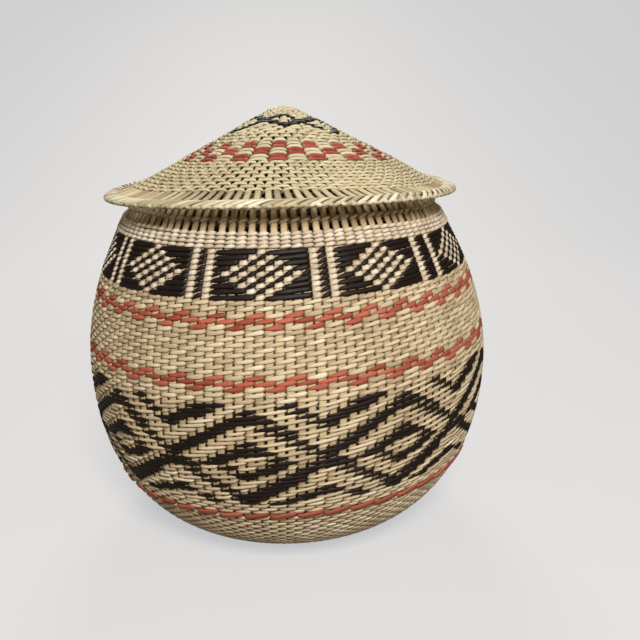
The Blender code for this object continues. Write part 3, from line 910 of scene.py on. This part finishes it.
def pattern_row(cells):
    """A row's stitches, an even number of them, and the offset that they need.

    The list has to start with a stitch's first stake, so the cells are turned until two
    neighbours differ, and the offset turns them back.
    """
    shift = next(i for i in range(len(cells)) if cells[i] != cells[i - 1])
    stitches = broken(grouped(cells[shift:] + cells[:shift]))
    if len(stitches) % 2:
        longest = max(range(len(stitches)), key=lambda i: stitches[i][0])
        length, dye = stitches[longest]
        stitches[longest:longest + 1] = [(length // 2, dye), (length - length // 2, dye)]
    return stitches, shift


def diamond_row(row):
    """One row round, through all nine diamonds."""
    unit = [BLACK if is_black(k, row) else NATURAL for k in range(DIAMOND_STAKES)]
    return pattern_row(unit * (WALL_STAKES // DIAMOND_STAKES))


diamond_low, diamond_high = length_at(DIAMOND_ROWS_FROM), length_at(DIAMOND_ROWS_TO)
diamond_lengths = even_rows(diamond_low, diamond_high, DIAMOND_ROWS)
diamond_rows = [(diamond_lengths[i], *diamond_row(i)) for i in range(DIAMOND_ROWS)]
diamond_look = dict(
    start=DIAMOND_START, wide=(0.0020, 0.0015), black_wide=1.34,
    lift=(0.00085, 0.00095, 0.00120), left=(0.62, 0.55),
)
edge_rows = (
    plain_run(BASE_RED_TO, DIAMOND_ROWS_FROM, 3, 1)
    + plain_run(DIAMOND_ROWS_TO, LOWER_STRIPE_FROM, 2)
)
for name, rows, look in (
    ("diamond_weave_low", diamond_rows[:LOW_DIAMOND_ROWS], diamond_look),
    ("diamond_weave_high", diamond_rows[LOW_DIAMOND_ROWS:], diamond_look),
    ("diamond_edge_weave", edge_rows, {}),
):
    diamonds = weave(name, rows, WALL_STAKES, weft_straw, **look)
    finish_piece(diamonds, "basket", "diamond_band", "diamond_band")

# %% [markdown]
# ## Bowl and underside
#
# Under the red line the rows go on down the bowl and in across the flat underside. A round
# has fewer stakes the nearer it is to the middle, because new stakes are set in as the
# weaving grows: 36 at first, then 72, then 144.

# %% Bowl and underside
ROW_PITCH = 0.00285
BASE_START_RADIUS = 0.020
MAT_OVERLAP = 0.002
FIRST_SPREAD = 0.038
SECOND_SPREAD = 0.078
BASE_STAKES = 36
FOOT_STAKES = 72


def close_rows(low, high, stakes):
    """Plain rows at the usual pitch between two lengths along the wall."""
    return plain_rows(low, high, max(round((high - low) / ROW_PITCH), 1), stakes)


bowl_rows = close_rows(SECOND_SPREAD, length_at(BASE_RED_FROM), WALL_STAKES)
half = len(bowl_rows) // 2
for name, rows, stakes in (
    ("bowl_weave_high", bowl_rows[half:], WALL_STAKES),
    ("bowl_weave_low", bowl_rows[:half], WALL_STAKES),
    ("bowl_weave_foot", close_rows(FOOT_RADIUS, SECOND_SPREAD, FOOT_STAKES), FOOT_STAKES),
):
    bowl = weave(name, rows, stakes, weft_straw)
    finish_piece(bowl, "basket", "lower_wall", "lower_wall")
for name, inside, outside, stakes in (
    ("base_weave_outer", FIRST_SPREAD, FOOT_RADIUS, FOOT_STAKES),
    ("base_weave_inner", BASE_START_RADIUS - MAT_OVERLAP, FIRST_SPREAD, BASE_STAKES),
):
    base = weave(name, close_rows(inside, outside, stakes), stakes, weft_straw, slide=None)
    finish_piece(base, "basket", "base_rows", "base_rows")

# %% [markdown]
# ## Stakes in the wall
#
# The upright stakes are flat ribs in the middle of the wall. They show as small tan squares
# at the ends of the stitches, with dark gaps between them. A ribbon function makes any number
# of such strands at once: it takes the middle line and the way that the ribbon's face looks
# at each point, and works out the side direction from the two.


# %% Ribbons and stakes
STAKE_DEPTH = 0.0016
STAKE_OVERLAP = 0.002
STAKE_WIDEST = 0.0050


def ribbons(name, paths, faces, width, thick, material):
    """Flat strands along given paths.

    At each point the strand runs along t, the path's difference, and faces n. Its side is
    b = n x t. A corner of the section = path + x * b + y * n, over six (x, y) pairs.
    """
    ahead = np.gradient(paths, axis=1)
    ahead = ahead / np.linalg.norm(ahead, axis=-1, keepdims=True)
    faces = faces - (faces * ahead).sum(-1, keepdims=True) * ahead
    faces = faces / np.linalg.norm(faces, axis=-1, keepdims=True)
    side = np.cross(faces, ahead)
    strands, count = paths.shape[:2]
    x = np.broadcast_to(width, (strands, count))[:, :, None] * SECTION_X
    points = (
        paths[:, :, None, :]
        + x[..., None] * side[:, :, None, :]
        + (thick * SECTION_Y)[:, None] * faces[:, :, None, :]
    )
    steps = np.linalg.norm(np.diff(paths, axis=1), axis=-1)
    along = np.concatenate([np.zeros((strands, 1)), np.cumsum(steps, axis=1)], axis=1)
    along = along + rng.uniform(0, 3, (strands, 1))
    tone = np.repeat(rng.random((strands, 1)), count - 1, axis=1)
    return strand_mesh(name, points, along, tone, 0 * tone, 1.0, material, closed=False)


def stake_ring(name, low, high, count, stakes, material, *, place=on_wall, slide=slid,
               bend=leaned, depth=STAKE_DEPTH, thick=0.0011, share=0.90, scatter=0.0):
    """A ring of stakes between two lengths along the wall, with count points in each.

    share is a stake's width as a part of the distance between stakes, and scatter is how far
    they stray from even places, as a part of it too.
    """
    number = np.arange(stakes) + 0.5 + rng.normal(0, 1, stakes) * scatter
    angle = (WALL_START + number * 2 * math.pi / stakes)[:, None]
    lengths = np.broadcast_to(np.linspace(low, high, count), (stakes, count))
    shares = share(lengths) if callable(share) else share
    if slide:
        lengths = slide(lengths, angle)
    radius, height, normal_r, normal_z = place(lengths)
    radius = radius - depth * normal_r
    height = height - depth * normal_z
    width = np.minimum(radius * 2 * math.pi / stakes * shares, STAKE_WIDEST)
    faces = around(angle, normal_r, normal_z)
    return ribbons(name, bend(around(angle, radius, height)), faces, width, thick, material)


def wall_stake_share(lengths):
    """The stakes are narrower among the diamonds, where small holes show between them."""
    ends = [diamond_low - 0.004, diamond_low + 0.002, diamond_high - 0.002, diamond_high + 0.004]
    return np.interp(lengths, ends, [0.90, 0.79, 0.79, 0.90])


panel_top = length_at(PANEL_ROWS_TO)
wall_stakes = stake_ring(
    "wall_stakes", SECOND_SPREAD - STAKE_OVERLAP, panel_top, 44, WALL_STAKES, stake_straw,
    share=wall_stake_share,
)
foot_stakes = stake_ring(
    "foot_stakes", FIRST_SPREAD - STAKE_OVERLAP, SECOND_SPREAD, 12, FOOT_STAKES, stake_straw
)
base_stakes = stake_ring(
    "base_stakes", BASE_START_RADIUS - MAT_OVERLAP - STAKE_OVERLAP, FIRST_SPREAD, 4,
    BASE_STAKES, stake_straw, slide=None,
)
WALL_NODES = (
    "lower_wall", "base_red_row", "diamond_band", "lower_red_stripe", "middle_wall",
    "upper_red_stripe", "panel_band",
)
finish_piece(wall_stakes, "basket", "lower_wall", *WALL_NODES)
finish_piece(foot_stakes, "basket", "lower_wall", "lower_wall", "base_rows")
finish_piece(base_stakes, "basket", "base_rows", "base_rows")

# %% [markdown]
# ## Start of the underside
#
# The first stakes cross in the middle of the underside as a small mat of nine splints each
# way, woven one over one. Their 36 ends are the first ring of stakes. Each splint is a ribbon
# whose height is a wave, cos(pi * place / pitch), with neighbours half a wave apart.


# %% Crossed splints
SPLINT_WAVE = 0.0007
SPLINT_THICK = 0.0009
SPLINT_POINTS = 29
SHORTEST_SPLINT = 0.4
MAT_DEPTH = WALL * 0.42


def mat(name, ways, pitch, reach, surface, material):
    """A round, plain-woven mat of splints: ways[0] along x and ways[1] along y.

    surface(x, y, offset) gives a point at an offset from the mat's middle face, and the
    face's normal there. offset = wave * cos(pi * (x / pitch + number)), x along the splint.
    """
    paths, faces = [], []
    line = np.linspace(-1, 1, SPLINT_POINTS)
    for way, number in enumerate(ways):
        shift = (ways[1 - way] - 1) / 2
        for k in range(number):
            across = (k - (number - 1) / 2) * pitch
            far = math.sqrt(max(reach**2 - across**2, (reach * SHORTEST_SPLINT) ** 2))
            place = line * far
            height = SPLINT_WAVE * np.cos(math.pi * (place / pitch + shift + k + way))
            x, y = (place, across + 0 * place) if way == 0 else (across + 0 * place, place)
            path, face = surface(x, y, height)
            paths.append(path)
            faces.append(face)
    width = pitch * 0.9
    return ribbons(name, np.stack(paths), np.stack(faces), width, SPLINT_THICK, material)


def under_face(x, y, offset):
    """The middle of the flat underside, which looks down."""
    path = np.stack([x, y, MAT_DEPTH - offset], axis=-1)
    return path, np.broadcast_to(np.array([0.0, 0.0, -1.0]), path.shape)


base_mat = mat("base_mat", (9, 9), 0.0040, BASE_START_RADIUS, under_face, weft_straw)
finish_piece(base_mat, "basket", "base_start", "base_start")

# %% [markdown]
# ## Shoulder and neck
#
# Over the panels the stakes go on in groups, 108 round, with one stitch on each, in straight
# columns. Above these rows the stakes stand bare for a centimetre. One thin row of twining
# holds them, and then they turn into the border.

# %% Shoulder and neck
NECK_STAKES = 108
STAKES_BEND_AT = 0.003
STAKE_SCATTER = 0.05
shoulder_rows = plain_rows(panel_top, length_at(NECK_FROM), 4, NECK_STAKES, covers=1)
shoulder = weave(
    "shoulder_weave", shoulder_rows, NECK_STAKES, bead_straw, lift=(0.00035,),
    wide=(0.0027, 0.0012), thick=0.0019, left=(0.85, 0.80), swing=0.0016,
)
finish_piece(shoulder, "basket", "shoulder_rows", "shoulder_rows")
neck_row = weave(
    "neck_row_weave", [(length_at(NECK_ROW), *plain(NECK_STAKES, 0, covers=1))], NECK_STAKES,
    weft_straw, lift=(0.0008,), wide=(0.0026, 0.0016), thick=0.0016, swing=0.0018,
    jitter=0.00022,
)
finish_piece(neck_row, "basket", "neck_stakes", "neck_stakes")
neck_stakes = stake_ring(
    "neck_bare_stakes", panel_top - STAKE_OVERLAP, float(OUTLINE[0][-1]) - STAKES_BEND_AT, 9,
    NECK_STAKES, bare_straw, share=0.72, depth=WALL / 2, thick=0.0018, scatter=STAKE_SCATTER,
)
finish_piece(neck_stakes, "basket", "neck_stakes", "neck_stakes")

# %% [markdown]
# ## Border of the mouth
#
# The stakes' ends are bent over and coiled round the mouth into a thin roll. One function
# winds any number of strands round a ring: across the ring, a strand turns by a given
# angle round the section, and along the ring it moves on by so many pitches meanwhile.

# %% Strands wound round a ring
PLACE_SPREAD = 0.05
STRAND_SPREAD = 0.08
END_WIDTH = 0.75


def wound_ring(name, centre, halves, slope, strands, turn, travel, width, thick, *,
               bend, points=16):
    """Strands round an oval ring about the Z axis.

    With a from turn[0] to turn[1] degrees, the section's point = centre + half width * cos(a)
    * out + half height * sin(a) * up, and the angle about Z moves on by travel pitches. out
    and up are tilted down by slope. Neither the places nor the widths are quite even.
    """
    share = np.linspace(0, 1, points)
    first, last = [math.radians(degrees) for degrees in turn]
    a = first + (last - first) * share
    number = np.arange(strands) + rng.normal(0, PLACE_SPREAD, strands)
    angle = 2 * math.pi / strands * (number[:, None] + travel * share)
    out = (halves[0] - thick / 2) * np.cos(a)
    up = (halves[1] - thick / 2) * np.sin(a)
    radius = centre[0] + out * math.cos(slope) + up * math.sin(slope)
    height = centre[1] - out * math.sin(slope) + up * math.cos(slope)
    face_out = np.cos(a) / halves[0]
    face_up = np.sin(a) / halves[1]
    face_r = face_out * math.cos(slope) + face_up * math.sin(slope)
    face_z = -face_out * math.sin(slope) + face_up * math.cos(slope)
    paths = bend(around(angle, radius, height))
    faces = around(angle, face_r, face_z)
    taper = END_WIDTH + (1 - END_WIDTH) * np.sin(math.pi * share) ** 0.5
    uneven = rng.uniform(-STRAND_SPREAD, STRAND_SPREAD, (strands, 1))
    return ribbons(name, paths, faces, width * (1 + uneven) * taper, thick, pale_straw)


BORDER_CENTRE = (0.08684, 0.2086)
BORDER_RADIUS = 0.0022
ROLL_TURN = (-170, 190)
ROLL_TRAVEL = 3.2
MOUTH_SLOPE = math.radians(1.25)


def with_mouth(points):
    """Points at the mouth, leaned as the wall is and tilted about the mouth's middle."""
    out = leaned(points)
    out[..., 2] += math.tan(MOUTH_SLOPE) * points[..., 0]
    return out


border = wound_ring(
    "mouth_roll", BORDER_CENTRE, (BORDER_RADIUS, BORDER_RADIUS), 0.0, NECK_STAKES,
    ROLL_TURN, ROLL_TRAVEL, 0.0024, 0.0008, bend=with_mouth,
)
finish_piece(border, "basket", "mouth_border", "mouth_border")

# %% [markdown]
# ## Outline of the lid
#
# The lid is a blunt cone that flares out to a flatter brim. Its outline is kept by length
# too, measured inwards from nothing at the axis, as a negative length, so that up the lid
# is again the way in which the length grows, and the same weaving function serves.

# %% Outline of the lid
LID_TOP = 0.2606
LID_STEEP = math.tan(math.radians(27.5))
LID_SHALLOW = math.tan(math.radians(11.5))
LID_FLARE_FROM = 0.0820
LID_FLARE_TO = 0.0975
LID_EDGE = 0.112
CROWN_RADIUS = 0.0080
CROWN_DROP = 0.0028
LID_SHIFT = 0.0010
WARP_FROM = 0.070
WARP_REACH = 0.032
WARP_RISE = 0.0019
WARP_MIDDLE = 0.55
WARP_SHIFT = 0.0026
WARP_TURN = 0.055


def lid_table():
    """Length, radius, height and normal along the lid's outer face, by its slope.

    The height falls by the slope's tangent, which eases from steep to shallow over the flare.
    Near the axis the crown is blunt.
    """
    radius = np.linspace(0, LID_EDGE, 600)
    over = np.clip(radius - LID_FLARE_FROM, 0, LID_FLARE_TO - LID_FLARE_FROM)
    tangent = LID_STEEP - (LID_STEEP - LID_SHALLOW) * over / (LID_FLARE_TO - LID_FLARE_FROM)
    step = np.diff(radius)
    fall = np.concatenate([[0], np.cumsum((tangent[1:] + tangent[:-1]) / 2 * step)])
    height = LID_TOP - fall - CROWN_DROP * np.clip(1 - radius / CROWN_RADIUS, 0, 1)
    length, _, _, inward_r, inward_z = profile(radius, height)
    return [column[::-1] for column in (-length, radius, height, -inward_r, -inward_z)]


LID = lid_table()


def on_lid(length):
    """Radius, height and normal on the lid's outer face."""
    return [np.interp(length, LID[0], column) for column in LID[1:]]


def lid_length(radius):
    """The (negative) length on the lid at a radius."""
    return float(np.interp(-radius, -LID[1], LID[0]))


def with_lid(points):
    """The lid sits with the mouth's tilt and a little to the left, and its brim is warped.

    The brim's rise = 1.9 mm * (0.55 - cos(2 * angle)), eased in from the lower rows out to
    the plait, so it stands up in front and behind and droops at both sides. The plait also sits
    2.6 mm further to the left and is turned by 3 degrees, so the bare stakes lean a little.
    """
    out = points.copy()
    radius = np.hypot(points[..., 0], points[..., 1])
    ease = smooth((radius - WARP_FROM) / WARP_REACH)
    angle = np.arctan2(points[..., 1], points[..., 0]) + WARP_TURN * ease
    rise = ease * WARP_RISE * (WARP_MIDDLE - np.cos(2 * angle))
    cos, sin = math.cos(MOUTH_SLOPE), math.sin(MOUTH_SLOPE)
    x, z = radius * np.cos(angle), points[..., 2] + rise - BORDER_CENTRE[1]
    out[..., 0] = cos * x - sin * z - LID_SHIFT - ease * WARP_SHIFT
    out[..., 1] = radius * np.sin(angle)
    out[..., 2] = sin * x + cos * z + BORDER_CENTRE[1]
    return out


print("lid's crown at", round(float(on_lid(-1e-6)[1]), 4))

# %% [markdown]
# ## Weave of the lid
#
# The lid's stitches bow upwards between their ends, and small dark holes show under them.
# Outwards from the crown come a black motif of crossing zigzags, plain rows, a chequer of red
# blocks, and plain rows again down to the bare stakes of the brim. Each block is two stakes
# wide and two fine rows high. The rows lie out of centre: on the right, and less on the left,
# they stand further out than in front.

# %% Rows of the lid
LID_BLACK_FROM = 0.0150
LID_BLACK_TO = 0.0310
LID_RED_FROM = 0.0400
LID_RED_TO = 0.0590
LID_ROWS_TO = 0.0868
SLIDE_RADIUS = 0.045
SLIDE_ONE_SIDE = 0.0022
SLIDE_BOTH_SIDES = 0.0075
FRONT_RADII = (0.0, 0.020, LID_BLACK_TO, LID_RED_FROM, LID_RED_TO, LID_ROWS_TO)
FRONT_SLIDES = (0.0, -0.0012, -0.0004, 0.0010, -0.0004, 0.0)
MOTIF_STAKES = 48
MOTIF_ROWS = 8
BLOCK_STAKES = 64
BLOCK_START = math.radians(270 - 9.8)
LID_STAKES = 108
MOTIF_DEGREES = (0, 36, 72, 105, 138, 170, 195, 235, 270, 300, 328, 360)
MOTIF_LOWER_MM = (20.5, 30, 20.5, 28, 20.5, 20.5, 30.5, 20.0, 25, 21.5, 31, 20.5)
MOTIF_UPPER_MM = (20.5, 15.5, 20.5, 15.5, 20.5, 20.5, 15.5, 20.0, 15, 21.5, 17, 20.5)
MOTIF_HALF_MM = 1.9


def lid_slid(length, angle):
    """Length on the lid once its rows are slid outwards, as far as the photograph shows.

    The slide = fade * (2.2 mm * cos(angle) + 7.5 mm * cos(angle)^2) + front, where fade rises
    from the crown and front, for each radius, is how far the rows in front stand out.
    """
    radius = on_lid(length)[0]
    fade = np.sin(np.clip(radius / SLIDE_RADIUS, 0, 1) * math.pi / 2)
    side = np.cos(angle)
    outwards = fade * (SLIDE_ONE_SIDE * side + SLIDE_BOTH_SIDES * side**2)
    return length - (outwards + np.interp(radius, FRONT_RADII, FRONT_SLIDES))


def motif_row(radius):
    """One row of the motif: two zigzag lines, whose radii stand in the tables above, against
    the angle. They meet every 65 degrees or so. A stake is black where either is near.
    """
    cells = []
    for k in range(MOTIF_STAKES):
        angle = (k + 0.5) * 360 / MOTIF_STAKES
        near = min(
            abs(radius * 1000 - np.interp(angle, MOTIF_DEGREES, line))
            for line in (MOTIF_LOWER_MM, MOTIF_UPPER_MM)
        )
        cells.append(BLACK if near < MOTIF_HALF_MM else NATURAL)
    return pattern_row(cells)


def lid_rows(outside, inside, count, stakes, covers=2):
    """Plain rows between two radii on the lid."""
    return plain_rows(lid_length(outside), lid_length(inside), count, stakes, covers=covers)


ON_LID = dict(place=on_lid, slide=lid_slid, bend=with_lid)
LID_LOOK = dict(**ON_LID, lift=(0.0005, 0.00045, 0.0005), bow=0.00105, left=(0.8, 0.75))
motif_lengths = even_rows(lid_length(LID_BLACK_TO), lid_length(LID_BLACK_FROM), MOTIF_ROWS)
motif_rows = [(length, *motif_row(float(on_lid(length)[0]))) for length in motif_lengths]
lid_motif = weave(
    "lid_motif_weave", motif_rows, MOTIF_STAKES, lid_straw, start=0.0, wide=(0.0021, 0.0015),
    lift=(0.0004, 0.0004, 0.0005), bow=0.0005, black_wide=1.2, **ON_LID,
)
finish_piece(lid_motif, "lid", "lid_black_band", "lid_black_band")
lid_upper = weave(
    "lid_upper_weave", lid_rows(LID_RED_FROM, LID_BLACK_TO, 3, BLOCK_STAKES), BLOCK_STAKES,
    lid_straw, wide=(0.0022, 0.0016), **LID_LOOK,
)
finish_piece(lid_upper, "lid", "lid_upper_wall", "lid_upper_wall")
block_lengths = even_rows(lid_length(LID_RED_TO), lid_length(LID_RED_FROM), 6)
block_rows = [
    (length, plain(BLOCK_STAKES, 0, RED, NATURAL)[0], 2 * (i // 2 % 2))
    for i, length in enumerate(block_lengths)
]
lid_blocks = weave(
    "lid_block_weave", block_rows, BLOCK_STAKES, lid_straw, start=BLOCK_START,
    wide=(0.0029, 0.0020), lift=(0.0003, 0.00025, 0.0003), bow=0.0010, jitter=0.00006,
    left=(0.9, 0.85), **ON_LID,
)
finish_piece(lid_blocks, "lid", "lid_red_band", "lid_red_band")
lid_lower = weave(
    "lid_lower_weave", lid_rows(LID_ROWS_TO, LID_RED_TO, 9, LID_STAKES), LID_STAKES,
    lid_straw, wide=(0.0018, 0.0014), **LID_LOOK,
)
finish_piece(lid_lower, "lid", "lid_lower_wall", "lid_lower_wall")

# %% [markdown]
# ## Stakes of the lid
#
# As on the underside, stakes are set in as the lid widens. The last 108 come out of the rows
# and stand bare up to the plait.

# %% Stakes of the lid
RIM_END = 0.1010
LID_OVERLAP = 0.001
lid_rings = (
    ("lid_stakes_motif", 0.012, LID_BLACK_TO, 5, MOTIF_STAKES, ("lid_black_band",)),
    ("lid_stakes_blocks", LID_BLACK_TO - LID_OVERLAP, LID_RED_TO, 5, BLOCK_STAKES,
     ("lid_upper_wall", "lid_red_band")),
    ("lid_stakes_rim", LID_RED_TO - LID_OVERLAP, RIM_END, 12, LID_STAKES,
     ("lid_lower_wall", "lid_stakes")),
)
for name, inside, outside, count, stakes, nodes in lid_rings:
    ring = stake_ring(
        name, lid_length(outside), lid_length(inside), count, stakes, lid_stake_straw,
        place=on_lid, slide=None, bend=with_lid, share=0.72, scatter=STAKE_SCATTER,
    )
    finish_piece(ring, "lid", "lid_stakes", *nodes)

# %% [markdown]
# ## Crown
#
# The lid starts like the underside, with a few splints crossed over each other, here over a
# blunt knob, and three tight rows round them.

# %% Crown
CROWN_STAKES = 18
KNOB_RISE = 0.0012
KNOB_RADIUS = 0.011
CROWN_MAT_RADIUS = 0.0125
CROWN_ROWS_FROM = 0.0075


def crown_face(x, y, offset):
    """The knob of the lid: a shallow dome that runs out into the cone."""
    across = np.hypot(x, y)
    _, height, normal_r, normal_z = on_lid(-across - 1e-6)
    dome = KNOB_RISE * np.clip(1 - (across / KNOB_RADIUS) ** 2, 0, 1)
    face = around(np.arctan2(y, x), normal_r, normal_z)
    drop = (WALL / 2 - offset)[..., None]
    return with_lid(np.stack([x, y, height + dome], axis=-1) - drop * face), face


crown = mat("crown_splints", (5, 4), 0.0030, CROWN_MAT_RADIUS, crown_face, lid_straw)
finish_piece(crown, "lid", "lid_start", "lid_start")
crown_rows = lid_rows(LID_BLACK_FROM, CROWN_ROWS_FROM, 3, CROWN_STAKES, covers=1)
crown_weave = weave(
    "crown_weave", crown_rows, CROWN_STAKES, lid_straw, wide=(0.0027, 0.0020), **LID_LOOK,
)
finish_piece(crown_weave, "lid", "lid_start", "lid_start")

# %% [markdown]
# ## Plaited rim
#
# Each stake's end lies down on the brim, runs along it to the left over its neighbours, and
# turns under at the edge. From the front this gives long pale strands that lean one way on
# top, and short ones that lean the other way along the edge. It takes two sets of wound
# strands round one oval ring: one over the top, and one round the edge and back below.

# %% Plait
PLAIT_RADIUS = 0.1029
PLAIT_HALVES = (0.0043, 0.0020)
PLAIT_SLOPE = math.atan(LID_SHALLOW)
plait_r, plait_z, plait_nr, plait_nz = on_lid(lid_length(PLAIT_RADIUS))
PLAIT_CENTRE = (plait_r - WALL / 2 * plait_nr, plait_z - WALL / 2 * plait_nz)
for name, turn, travel, width, thick in (
    ("plait_top", (186, -12), -2.5, 0.0028, 0.0015),
    ("plait_edge", (24, -176), 2.0, 0.0029, 0.0014),
):
    plait = wound_ring(
        name, PLAIT_CENTRE, PLAIT_HALVES, PLAIT_SLOPE, LID_STAKES, turn, travel, width, thick,
        bend=with_lid,
    )
    finish_piece(plait, "lid", "lid_braid", "lid_braid")

# %% [markdown]
# ## Collar
#
# A short twined tube under the lid keeps it in the middle of the mouth. Nothing of it shows
# in the photograph, so it is plain, with a rolled edge like the mouth's.

# %% Collar
COLLAR_OUTER = 0.0826
COLLAR_WALL = 0.0028
COLLAR_LOW = 0.1990
COLLAR_TOP = 0.2118
COLLAR_ROLL_HEIGHT = 0.1972
COLLAR_ROLL_RADIUS = 0.0019


def on_collar(length):
    """The collar's outer face, an upright tube: the length is the height."""
    length = np.asarray(length, dtype=float)
    return COLLAR_OUTER + 0 * length, length, 1 + 0 * length, 0 * length


collar = weave(
    "collar_weave",
    plain_rows(COLLAR_LOW + 0.0006, COLLAR_TOP, 5, NECK_STAKES, covers=1),
    NECK_STAKES, lid_straw, place=on_collar, slide=None, bend=with_lid,
    depth=COLLAR_WALL / 2, swing=0.0009, thick=0.0008, lift=(0.0005,), wide=(0.0023, 0.0017),
)
collar_stakes = stake_ring(
    "collar_stakes", COLLAR_LOW, COLLAR_TOP + 0.0008, 4, NECK_STAKES, stake_straw,
    place=on_collar, slide=None, bend=with_lid, depth=COLLAR_WALL / 2, thick=0.0009,
    share=0.66,
)
collar_roll = wound_ring(
    "collar_roll", (COLLAR_OUTER - COLLAR_WALL / 2, COLLAR_ROLL_HEIGHT),
    (COLLAR_ROLL_RADIUS, COLLAR_ROLL_RADIUS), 0.0, NECK_STAKES, ROLL_TURN, ROLL_TRAVEL, 0.0023,
    0.0007, bend=with_lid, points=14,
)
finish_piece(collar, "lid", "lid_collar", "lid_collar")
finish_piece(collar_stakes, "lid", "lid_collar", "lid_collar")
finish_piece(collar_roll, "lid", "lid_collar_edge", "lid_collar_edge")

# %% [markdown]
# ## Triangles in all

# The visual model must keep to the imported model's box.

# %% Finish
print("triangles in all", sum(triangles.values()))
